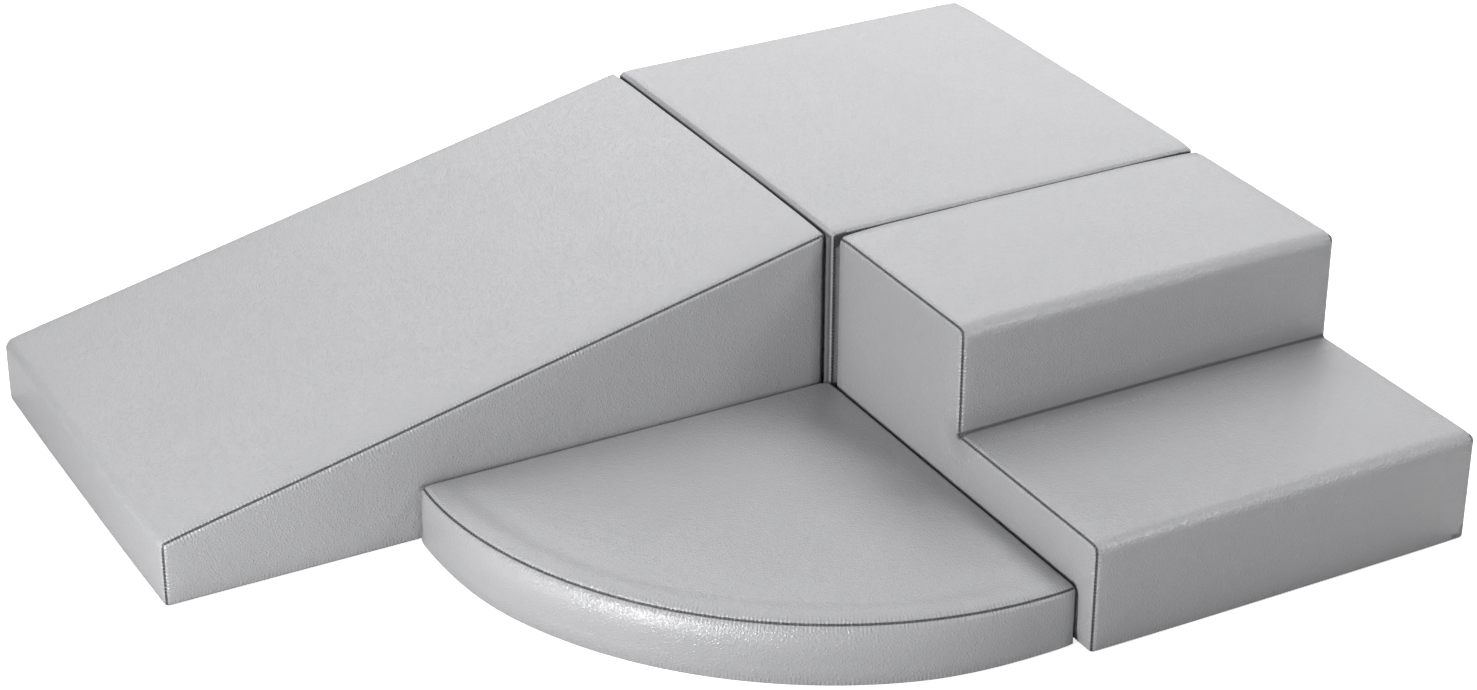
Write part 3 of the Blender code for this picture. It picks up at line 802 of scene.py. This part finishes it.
def leather(name):
    graph = Graph(name)
    place = graph.place()
    warp = graph.node("TexNoise", None,
                      {"Vector": place, "Scale": WARP_PER_METRE, "Detail": 2}, output="Color")
    centred = graph.node("VectorMath", {"operation": "SUBTRACT"}, {0: warp, 1: (0.5,) * 3})
    offset = graph.node("VectorMath", {"operation": "SCALE"},
                        {0: centred, "Scale": 2 * WARP_LENGTH})
    warped = graph.node("VectorMath", {"operation": "ADD"}, {0: place, 1: offset})
    cells = graph.node("TexVoronoi", {"feature": "DISTANCE_TO_EDGE"},
                       {"Vector": warped, "Scale": GRAIN_PER_METRE})
    pebble = graph.ranged(cells, 0, PEBBLE_TOP)
    fine = graph.noise(place, FINE_PER_METRE)
    broad = graph.noise(place, BROAD_PER_METRE, 3) - 0.5
    uneven = graph.noise(place, UNEVEN_PER_METRE, 1)
    crumple = graph.noise(place, CRUMPLES_PER_METRE, 3, Distortion=CRUMPLE_DISTORTION)
    away = graph.attribute("from_seam")
    # Painted shade for the shadows in the crease, the gaps and behind the mat, noted on the points.
    painted_shade = graph.attribute("painted_shade")
    turns = graph.attribute("along_seam") * (2 * math.pi / STITCH_PITCH) + UNEVEN_TURNS * uneven
    pucker = turns.maths("SINE", turns) * graph.ranged(away, PUCKER_FROM, PUCKER_TO, 1, 0) * uneven
    grain = graph.bump(pebble + FINE_SHARE * fine, GRAIN_DEPTH)
    slack = graph.bump(crumple, CRUMPLE_DEPTH, grain)
    normal = graph.bump(pucker, PUCKER_DEPTH, slack)
    # Painted shade in the pebbles' valleys, and a tone that varies at random over broad patches.
    colour = graph.mixed(SHADE_SHARE * (1 - pebble) + SHADE_SHARE * broad, LEATHER_COLOUR, LEATHER_SHADE)
    # Painted shade in the crease, the gaps and behind the mat.
    colour = graph.mixed(painted_shade, colour, PAINTED_SHADE_COLOUR)
    # Painted shade in the seam ditches.
    colour = graph.mixed(graph.ranged(away, SEAM_SHADE_FROM, SEAM_SHADE_TO, 1, 0), colour, SEAM_SHADE)
    roughness = ROUGHNESS - PEBBLE_GLOSS * pebble + BROAD_ROUGHNESS * broad + PAINTED_SHADE_ROUGHNESS * painted_shade
    return graph.surface(Base_Color=colour, Roughness=roughness, Normal=normal, IOR=REFRACTION,
                         Specular_IOR_Level=SPECULAR_LEVEL, Coat_Weight=COAT * (1 - painted_shade),
                         Coat_Roughness=COAT_ROUGHNESS)


leather_finish = leather("grey faux leather")

# %% [markdown]
# ## Cloth, tape, thread, foam and metal
#
# The base cloth is a dark weave with rubber dots, so that the modules don't creep on a floor. The zip
# tape is a herringbone weave. The hook-and-loop strips are a low fuzz. Each has its own pattern at its
# own scale, from the same few nodes.

# %% Mix the other finishes
THREADS_PER_BAND = 6
WEAVE_DISTORTION = 0.4
WEAVE_NOISE = 0.5
WEAVE_CONTRAST = 0.6
DOT_EDGE, DOT_REACH = 0.22, 0.30
CLOTH_ROUGHNESS, DOT_GLOSS = 0.9, 0.45
CLOTH_WEAVE = 0.25
CLOTH_COLOUR, DOT_COLOUR = (0.085, 0.085, 0.09, 1), (0.022, 0.022, 0.024, 1)
WEAVE_PER_METRE = 1800
FUZZ_DETAIL, FUZZ_GAIN = 6, 0.7
FUZZ_ROUGHNESS = 0.95
BRUSHED_STRETCH = (400, 4000, 4000)
BRUSHED_ROUGHNESS, BRUSHED_UNEVENNESS = 0.28, 0.15
THREAD_TONES = (0.38, 0.38, 0.39, 1), (0.26, 0.26, 0.27, 1)
TAPE_TONES = (0.36, 0.36, 0.37, 1), (0.22, 0.22, 0.23, 1)
TEETH_TONES = (0.42, 0.42, 0.43, 1), (0.34, 0.34, 0.35, 1)
STRIP_TONES = (0.34, 0.34, 0.35, 1), (0.16, 0.16, 0.17, 1)
FOAM_TONES = (0.86, 0.86, 0.84, 1), (0.72, 0.72, 0.70, 1)
METAL_COLOUR = (0.58, 0.58, 0.59, 1)


def woven(name, colour, dark, threads_per_metre, depth, roughness):
    graph = Graph(name)
    place = graph.place()
    warp = graph.node("TexWave", {"bands_direction": "DIAGONAL"},
                      {"Vector": place, "Scale": threads_per_metre / THREADS_PER_BAND,
                       "Distortion": WEAVE_DISTORTION})
    height = warp + WEAVE_NOISE * graph.noise(place, threads_per_metre)
    return graph.surface(Base_Color=graph.mixed(height * WEAVE_CONTRAST, dark, colour),
                         Normal=graph.bump(height, depth), Roughness=roughness)


def dotted_cloth(name, dots_per_metre, depth):
    graph = Graph(name)
    cells = graph.node("TexVoronoi", {"feature": "F1"},
                       {"Vector": graph.place((1, 1, 0)), "Scale": dots_per_metre, "Randomness": 0.0})
    dot = graph.ranged(cells, DOT_EDGE, DOT_REACH, 1, 0)
    weave = graph.noise(graph.place(), WEAVE_PER_METRE)
    return graph.surface(Base_Color=graph.mixed(dot, CLOTH_COLOUR, DOT_COLOUR),
                         Normal=graph.bump(dot + CLOTH_WEAVE * weave, depth),
                         Roughness=CLOTH_ROUGHNESS - DOT_GLOSS * dot)


def fuzzy(name, colour, dark, per_metre, depth):
    graph = Graph(name)
    fuzz = graph.noise(graph.place(), per_metre, FUZZ_DETAIL, Roughness=FUZZ_GAIN)
    return graph.surface(Base_Color=graph.mixed(fuzz, dark, colour), Roughness=FUZZ_ROUGHNESS,
                         Normal=graph.bump(fuzz, depth))


def brushed(name, colour, depth):
    graph = Graph(name)
    grain = graph.noise(graph.place(BRUSHED_STRETCH), 1)
    return graph.surface(Base_Color=colour, Metallic=1.0, Normal=graph.bump(grain, depth),
                         Roughness=BRUSHED_ROUGHNESS + BRUSHED_UNEVENNESS * grain)


thread_finish = woven("sewing thread", *THREAD_TONES, threads_per_metre=2500, depth=0.0001, roughness=0.6)
tape_finish = woven("zip tape", *TAPE_TONES, threads_per_metre=1400, depth=0.0002, roughness=0.8)
teeth_finish = fuzzy("nylon zip teeth", *TEETH_TONES, per_metre=900, depth=0.00005)
base_finish = dotted_cloth("dotted non-slip cloth", dots_per_metre=220, depth=0.0006)
strip_finish = fuzzy("hook and loop", *STRIP_TONES, per_metre=1300, depth=0.0009)
foam_finish = fuzzy("polyethylene foam", *FOAM_TONES, per_metre=350, depth=0.0006)
slider_finish = brushed("slider metal", METAL_COLOUR, depth=0.00003)

# %% [markdown]
# ## The four modules
#
# Every module goes through the same steps: cage, rounding, slices, seams, measuring, padding. What
# differs is the outline, the radii and which sides are crowned. Sides that face a neighbour stay flat.

# %% Sizes that the covers share with the construction
SIDE_EDGE_RADIUS = 0.007
SEWN_ENDS = End(NEAR, SIDE_EDGE_RADIUS), End(FAR, SIDE_EDGE_RADIUS)
CREST_FOLD = 0.0045
NOSING_FOLD = 0.018
TOP_CROWN = 0.003
SIDE_CROWN = 0.003
SIDE_REACH = 0.035
FACE_CROWN = 0.002
WIDE_POWER, EDGE_POWER = 3, 2
UP = Vector((0, 0, 1))
LEFT, RIGHT = Vector((-1, 0, 0)), Vector((1, 0, 0))
FRONT, BACK = Vector((0, -1, 0)), Vector((0, 1, 0))
MAT_EDGE_DROP = 0.006
SHADOW_EDGE = 0.003
# Painted shade for the shadow below the top of the mat, on the sides behind it.
BEHIND_MAT_SHADE = 0.7
BEHIND_MAT_SHADE_REACH = 0.014
mat_nodes = ("mat_top_panel", "mat_arc_band", "mat_zip_band")
mat_low, mat_high = union_box(*mat_nodes)
lit_above = mat_high.z - MAT_EDGE_DROP
behind_mat = (lit_above, lit_above - SHADOW_EDGE)


def beside_mat(place):
    """How much painted shade a side of the ramp or the steps takes just below the top of the mat before it,
    for the shadow in the gap.
    """
    below = lit_above - place.z
    near = place.x < mat_high.x + CLEAR_OF_EDGES and place.y < mat_high.y + CLEAR_OF_EDGES
    if below < SHADOW_EDGE / 2 or not near or place.x < mat_low.x or place.y < mat_low.y:
        return 0
    return BEHIND_MAT_SHADE * (1 - smooth_step(below / BEHIND_MAT_SHADE_REACH))


STRIPS = {
    "ramp_end_hook_strip": RIGHT, "ramp_side_hook_strip": FRONT,
    "block_left_loop_strip": LEFT, "block_front_loop_strip": FRONT,
    "steps_back_hook_strip": BACK, "mat_back_loop_strip": BACK,
}
TOPSTITCH_FROM_STRIP_EDGE = 0.0025


def strip_stitches(module):
    """Matrices for the stitches round a module's hook-and-loop strips."""
    matrices = []
    for node, out in STRIPS.items():
        if node.startswith(module):
            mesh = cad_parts[node].data
            tree = BVHTree.FromPolygons([vert.co for vert in mesh.vertices],
                                        [tuple(face.vertices) for face in mesh.polygons])
            low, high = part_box(node)
            along = Vector((abs(out.y), abs(out.x), 0))
            half = (high - low) / 2
            matrices += stitched_rectangle(tree, (low + high) / 2, along, out,
                                           half.dot(along) - TOPSTITCH_FROM_STRIP_EDGE,
                                           half.z - TOPSTITCH_FROM_STRIP_EDGE)
    return matrices


def finished_module(module, form, nodes, base_node):
    """Makes a module's cover, base, stitches and zip teeth, and hangs them on its body."""
    line = zip_line(module)
    seam_matrices = seam_stitches(form)
    top_matrices = stitched_rectangle(BVHTree.FromBMesh(form), line.middle, line.along, line.out,
                                      line.length / 2 + TOPSTITCH_FROM_SLOT,
                                      ZIP_SLOT_WIDTH / 2 + TOPSTITCH_FROM_SLOT)
    top_matrices += strip_stitches(module)
    opened = cut_slot(form, line)
    cover = cloth_piece(f"{module}_cover", form, lambda panel: panel != BASE, leather_finish)
    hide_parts(*nodes)
    base = cloth_piece(f"{module}_base_cloth", form, lambda panel: panel == BASE, base_finish)
    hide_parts(base_node)
    seam_thread = beads(f"{module}_seam_stitches", seam_matrices, thread_finish)
    top_thread = beads(f"{module}_topstitches", top_matrices, thread_finish)
    teeth = beads(f"{module}_zip_teeth", zip_teeth(line), teeth_finish)
    for piece in (cover, base, seam_thread, top_thread, teeth):
        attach(piece, module)
    print(module, len(form.faces), "faces,", opened, "taken out for the zip,", len(seam_matrices),
          "seam stitches and", len(top_matrices), "topstitches")
    form.free()


# %% The ramp
RAMP_SEED, BLOCK_SEED, STEPS_SEED, MAT_SEED = 1.3, 4.1, 7.7, 9.4
RAMP_LOW_HEIGHT = 0.093
LOW_END_FOLD = 0.012
ramp_nodes = ("ramp_cover_band", "ramp_front_side_panel", "ramp_back_side_panel")
ramp_low, ramp_high = union_box(*ramp_nodes)


def ramp_form():
    low_end, high_end, top = ramp_low.x, ramp_high.x, ramp_high.z
    corners = [Corner(low_end, 0, FLOOR_EDGE_RADIUS, BASE),
               Corner(high_end, 0, FLOOR_EDGE_RADIUS, BAND),
               Corner(high_end, top, CREST_FOLD, BAND),
               Corner(low_end, RAMP_LOW_HEIGHT, LOW_END_FOLD, BAND)]
    slope = Vector((low_end - high_end, 0, RAMP_LOW_HEIGHT - top)).normalized()
    half_width = (ramp_high.y - ramp_low.y) / 2
    across = (1, ramp_low.y, ramp_high.y)
    crest = Vector((high_end, 0, top))
    sides = [Side(crest, BACK.cross(slope).normalized(), TOP_CROWN, half_width, WIDE_POWER, across),
             Side(ramp_low, LEFT, FACE_CROWN, half_width, WIDE_POWER, across),
             Side(ramp_high, BACK, SIDE_CROWN, SIDE_REACH, EDGE_POWER, None)]
    bm = cage(corners, ramp_low.y, ramp_high.y, X_Z_AXES, *SEWN_ENDS)
    bm = measured_from_seams(sewn(sliced(rounded(bm), extra_heights=behind_mat)))
    return padded_out(bm, sides, RAMP_SEED, (RIGHT,), hidden=beside_mat, fuller=RIGHT)


finished_module("ramp", ramp_form(), ramp_nodes, "ramp_base_panel")

# %% The block
BLOCK_EDGE_RADIUS = 0.0045
BLOCK_FOLD = 0.0055
BLOCK_TOP_CROWN = 0.001
BLOCK_SIDE_CROWN = 0.0015
BLOCK_ROLL = 0.0014
BLOCK_ROLL_REACH = 0.024
EXACTLY_FLAT = 0.99999
block_nodes = ("block_cover_band", "block_front_side_panel", "block_back_side_panel")


def block_form():
    left, right, top = block_low.x, block_high.x, block_high.z
    corners = [Corner(left, 0, FLOOR_EDGE_RADIUS, BASE),
               Corner(right, 0, FLOOR_EDGE_RADIUS, BAND),
               Corner(right, top, BLOCK_FOLD, BAND),
               Corner(left, top, BLOCK_FOLD, BAND)]
    half_depth = (block_high.y - block_low.y) / 2
    across = (1, block_low.y, block_high.y)
    along = (0, block_low.x, block_high.x)
    sides = [Side(block_high, UP, BLOCK_TOP_CROWN, half_depth, WIDE_POWER, across),
             Side(block_high, UP, BLOCK_ROLL, BLOCK_ROLL_REACH, EDGE_POWER, along),
             Side(block_high, RIGHT, BLOCK_SIDE_CROWN, SIDE_REACH, EDGE_POWER, across),
             Side(block_high, BACK, BLOCK_SIDE_CROWN, SIDE_REACH, EDGE_POWER, None)]
    bm = cage(corners, block_low.y, block_high.y, X_Z_AXES, End(NEAR, BLOCK_EDGE_RADIUS),
              End(FAR, BLOCK_EDGE_RADIUS))
    bm = rounded(bm)
    bm.normal_update()
    for face in bm.faces:
        if face.material_index in (NEAR, FAR) and abs(face.normal.y) < EXACTLY_FLAT:
            face.material_index = BAND
    bm = measured_from_seams(sewn(sliced(bm)))
    return padded_out(bm, sides, BLOCK_SEED, (LEFT, FRONT), fuller=LEFT)


finished_module("block", block_form(), block_nodes, "block_base_panel")

# %% The steps
TREAD_DEPTH = 0.31
TREAD_HEIGHT = 0.153
CREASE_FOLD = 0.0078
STEPS_ROLL = 0.0024
STEPS_ROLL_REACH = 0.026
steps_nodes = ("steps_cover_band", "steps_left_side_panel", "steps_right_side_panel")
steps_low, steps_high = union_box(*steps_nodes)


def steps_form():
    front, back, top = steps_low.y, steps_high.y, steps_high.z
    riser = back - TREAD_DEPTH
    corners = [Corner(front, 0, FLOOR_EDGE_RADIUS, BASE),
               Corner(back, 0, FLOOR_EDGE_RADIUS, BAND),
               Corner(back, top, CREST_FOLD, BAND),
               Corner(riser, top, NOSING_FOLD, BAND),
               Corner(riser, TREAD_HEIGHT, CREASE_FOLD, BAND),
               Corner(front, TREAD_HEIGHT, NOSING_FOLD, BAND)]
    half_width = (steps_high.x - steps_low.x) / 2
    tread = Vector((0, riser, TREAD_HEIGHT))
    across = (0, steps_low.x, steps_high.x)
    along = (1, front, back)
    sides = [Side(steps_high, UP, TOP_CROWN, half_width, WIDE_POWER, across),
             Side(steps_high, UP, STEPS_ROLL, STEPS_ROLL_REACH, EDGE_POWER, along),
             Side(tread, UP, TOP_CROWN, half_width, WIDE_POWER, across),
             Side(tread, FRONT, FACE_CROWN, half_width, WIDE_POWER, across),
             Side(steps_low, FRONT, FACE_CROWN, half_width, WIDE_POWER, across),
             Side(steps_high, RIGHT, SIDE_CROWN, SIDE_REACH, EDGE_POWER, None)]
    bm = cage(corners, steps_low.x, steps_high.x, Y_Z_AXES, *SEWN_ENDS)
    for normal in (BACK, UP):
        cut(bm, bm.faces[:], tread, normal)
    bm = measured_from_seams(sewn(sliced(rounded(bm), extra_heights=behind_mat)))
    return padded_out(bm, sides, STEPS_SEED, (BACK,), crease=tread, hidden=beside_mat)


finished_module("steps", steps_form(), steps_nodes, "steps_base_panel")

# %% [markdown]
# The mat's outline is close to a quarter of a circle, so slices would cross its rounded edge at every
# angle. Its top is divided into rings instead, which follow the edge. In the picture the arc is a little
# fuller than a circle, as nothing backs the foam there, so its reach swells between the two tips. A low
# roll and a shallow hollow run along inside the arc, the band bulges below its seam, and it spreads into
# a small foot at the floor.

# %% The mat
MAT_EDGE_RADIUS = 0.011
MAT_SIDE_RADIUS = 0.006
MAT_TIP_RADIUS = 0.006
MAT_CORNER_RADIUS = 0.014
MAT_CROWN = 0.007
MAT_SEAM_FROM_TIP = 0.045
MAT_REACH = 0.17
ARC_FULLNESS = 0.015
ARC_FULLNESS_POWER = 0.7
ARC_STEPS = 72
SIDE_STEPS = 36
TIP_STEPS = 2
EDGE_RINGS, EDGE_RING_SHARE = 20, 0.014
INNER_RINGS, INNER_RING_SHARE = 22, 0.03
RING_SHARES = [1 - EDGE_RING_SHARE * step for step in range(1, EDGE_RINGS + 1)]
RING_SHARES += [RING_SHARES[-1] - INNER_RING_SHARE * step for step in range(1, INNER_RINGS + 1)]
ROLL_RISE = 0.0013
ROLL_FROM_ARC = 0.022
ROLL_WIDTH = 0.013
HOLLOW_DEPTH = 0.0022
HOLLOW_FROM_ARC = 0.048
HOLLOW_WIDTH = 0.016
HOLLOW_FADE = 0.08
BULGE = 0.007
BULGE_FROM_TOP = 0.007
BULGE_REACH = 0.028
BULGE_TURN = 3
FOOT = 0.004
FOOT_HEIGHT = 0.016


def mat_outline():
    """The square corner, the side towards the ramp, the arc and the side towards the steps."""
    x, y = mat_high.x, mat_high.y
    radius = mat_high.x - mat_low.x
    tip_seam = radius - MAT_SEAM_FROM_TIP
    along = [tip_seam * step / SIDE_STEPS for step in range(SIDE_STEPS)]
    tip = [tip_seam + MAT_SEAM_FROM_TIP * step / TIP_STEPS for step in range(TIP_STEPS + 1)]
    corners = [Corner(x - away, y, 0, NEAR) for away in along]
    corners += [Corner(x - away, y, 0, BAND) for away in tip]
    for step in range(1, ARC_STEPS):
        angle = math.pi * (1 + step / ARC_STEPS / 2)
        reach = radius + ARC_FULLNESS * math.sin(2 * angle) ** ARC_FULLNESS_POWER
        corners.append(Corner(x + reach * math.cos(angle), y + reach * math.sin(angle), 0, BAND))
    corners += [Corner(x, y - away, 0, BAND) for away in tip[:0:-1]]
    corners += [Corner(x, y - away, 0, NEAR) for away in [tip[0], *along[:0:-1]]]
    corners[0] = corners[0]._replace(fold=MAT_CORNER_RADIUS)
    for index, corner in enumerate(corners):
        if (corner.x, corner.y) in ((x - radius, y), (x, y - radius)):
            corners[index] = corner._replace(fold=MAT_TIP_RADIUS)
    return corners


def mat_relief(place, normal):
    """The roll and the hollow inside the mat's arc, and the bulge and the foot of its band."""
    from_centre = Vector((mat_high.x, mat_high.y)) - place.xy
    turn = 2 * from_centre.x * from_centre.y / max(from_centre.length_squared, MERGE)
    reach = mat_high.x - mat_low.x + ARC_FULLNESS * max(turn, 0) ** ARC_FULLNESS_POWER
    from_arc = reach - from_centre.length
    roll = ROLL_RISE * bell(from_arc, ROLL_FROM_ARC, ROLL_WIDTH)
    hollow = HOLLOW_DEPTH * bell(from_arc, HOLLOW_FROM_ARC, HOLLOW_WIDTH)
    below = max(1 - (mat_high.z - BULGE_FROM_TOP - place.z) / BULGE_REACH, 0)
    bulge = BULGE * (1 - min(below, 1) ** 2) * smooth_step(-BULGE_TURN * max(normal.x, normal.y))
    inside = smooth_step(min(from_centre.x, from_centre.y) / HOLLOW_FADE)
    foot = FOOT * smooth_step(1 - place.z / FOOT_HEIGHT) * smooth_step(-normal.x - normal.y)
    return (roll - hollow) * inside * smooth_step(normal.z) + (bulge + foot) * (1 - smooth_step(normal.z))


def mat_form():
    corners = mat_outline()
    bm = cage(corners, 0, mat_high.z, X_Y_AXES, End(BASE, FLOOR_EDGE_RADIUS), End(FAR, MAT_EDGE_RADIUS))
    radius = bm.edges.layers.float["radius"]
    for edge in bm.edges:
        first, second = (mat_high - vert.co for vert in edge.verts)
        straight = any(max(abs(first[axis]), abs(second[axis])) < MERGE for axis in (0, 1))
        if straight and max(abs(first.z), abs(second.z)) < MERGE:
            edge[radius] = MAT_SIDE_RADIUS
    bm = rounded(bm)
    bm = sliced(bm, axes=(2,))
    bm.normal_update()
    for normal in (UP, -UP):
        largest = max((f for f in bm.faces if f.normal.dot(normal) > FLAT_AGAINST),
                      key=lambda face: face.calc_area())
        ringed(bm, largest, RING_SHARES)
    bm = measured_from_seams(sewn(bm))
    sides = [Side(mat_high, UP, MAT_CROWN, MAT_REACH, EDGE_POWER, None)]
    return padded_out(bm, sides, MAT_SEED, (RIGHT, BACK), mat_relief)


finished_module("mat", mat_form(), mat_nodes, "mat_base_panel")

# %% [markdown]
# ## Finishes on the construction
#
# The zips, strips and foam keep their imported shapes. Their materials are swapped for the finishes above.

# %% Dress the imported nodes
for name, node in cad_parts.items():
    if name.endswith("_tape"):
        finish = tape_finish
    elif name.endswith("_slider"):
        finish = slider_finish
    elif name.endswith("_strip"):
        finish = strip_finish
    elif "foam" in name:
        finish = foam_finish
    else:
        continue
    node.data.materials.clear()
    node.data.materials.append(finish)

# %% [markdown]
# ## Light and ground
#
# The tones of the picture were matched with a handful of soft lamps, each tried alone first and then
# weighed against the others, patch by patch. No light comes from all around, which keeps the gaps between
# the modules dark. The two lamps above aren't mirrored, or every edge would carry a thin white line. Two
# small lamps are placed for their reflections: the near left one shines along the mat's rim, the one in
# front along the nosings. What else the gloss of the leather mirrors is a bright backdrop, so the tops are
# paler than the mat, which mirrors its neighbours instead.

# %% Set up the studio
Lamp = namedtuple("Lamp", "place target size power mirrored")
LAMPS = {
    "above right": Lamp((1.5, 0.3, 2.5), (0, 0.1, 0.1), (1.2, 1.2), 30, False),
    "above back": Lamp((1.3, 1.4, 2.4), (0, 0.1, 0.1), (1.2, 1.2), 37, False),
    "back right": Lamp((2.0, 3.4, 1.9), (0.2, 0, 0.15), (3.0, 1.6), 7, True),
    "left": Lamp((-3.2, 0.2, 1.3), (0, 0, 0.15), (2.2, 1.8), 21, True),
    "back": Lamp((0.2, 3.0, 2.0), (0, 0, 0.15), (2.6, 1.6), 11, True),
    "near left": Lamp((-2.45, -1.12, 0.8), (-0.285, -0.393, 0.08), (0.5, 0.9), 48, True),
    "nosing": Lamp((1.28, -1.99, 1.67), (0.35, -0.4, 0.2), (0.8, 0.8), 13, True),
}
SURROUNDINGS = 0.0
BACKDROP = 1.0
FLOOR_GLOW = (0.85, 0.85, 0.85, 1)
FLOOR_SIZE = 30
FLOOR_DROP = 0.0005
FLOOR_COLOUR = (0.8, 0.8, 0.8, 1)


for name, lamp in LAMPS.items():
    light = bpy.data.lights.new(name, "AREA")
    light.shape = "RECTANGLE"
    light.size, light.size_y = lamp.size
    light.energy = lamp.power
    obj = placed(name, light)
    obj.location = lamp.place
    obj.rotation_mode = "QUATERNION"
    obj.rotation_quaternion = (Vector(lamp.target) - Vector(lamp.place)).to_track_quat("-Z", "Y")
    obj.visible_camera = False
    obj.visible_glossy = lamp.mirrored


def studio_world():
    """White to the camera, bright to reflections and dark to everything else."""
    world = bpy.data.worlds.new("studio")
    world.use_nodes = True
    tree = world.node_tree
    rays = tree.nodes.new("ShaderNodeLightPath")
    shown = tree.nodes["Background"]
    shown.inputs["Color"].default_value = (1, 1, 1, 1)
    shown.inputs["Strength"].default_value = SURROUNDINGS
    for ray, strength in (("Is Glossy Ray", BACKDROP), ("Is Camera Ray", 1)):
        other = tree.nodes.new("ShaderNodeBackground")
        other.inputs["Color"].default_value = (1, 1, 1, 1)
        other.inputs["Strength"].default_value = strength
        mix = tree.nodes.new("ShaderNodeMixShader")
        tree.links.new(rays.outputs[ray], mix.inputs[0])
        tree.links.new(shown.outputs[0], mix.inputs[1])
        tree.links.new(other.outputs[0], mix.inputs[2])
        shown = mix
    tree.links.new(shown.outputs[0], tree.nodes["World Output"].inputs["Surface"])
    bpy.context.scene.world = world


def studio_floor():
    bm = bmesh.new()
    bmesh.ops.create_grid(bm, x_segments=1, y_segments=1, size=FLOOR_SIZE / 2)
    bmesh.ops.translate(bm, verts=bm.verts, vec=(0, 0, -FLOOR_DROP))
    graph = Graph("studio floor")
    seen = graph.node("LightPath", output="Is Camera Ray")
    finish = graph.surface(Base_Color=FLOOR_COLOUR, Roughness=0.9, Specular_IOR_Level=0.1,
                           Emission_Color=graph.mixed(seen, (0, 0, 0, 1), FLOOR_GLOW),
                           Emission_Strength=1.0)
    new_object("studio_floor", bm, finish)


studio_world()
studio_floor()
bpy.context.scene.view_settings.view_transform = "Standard"
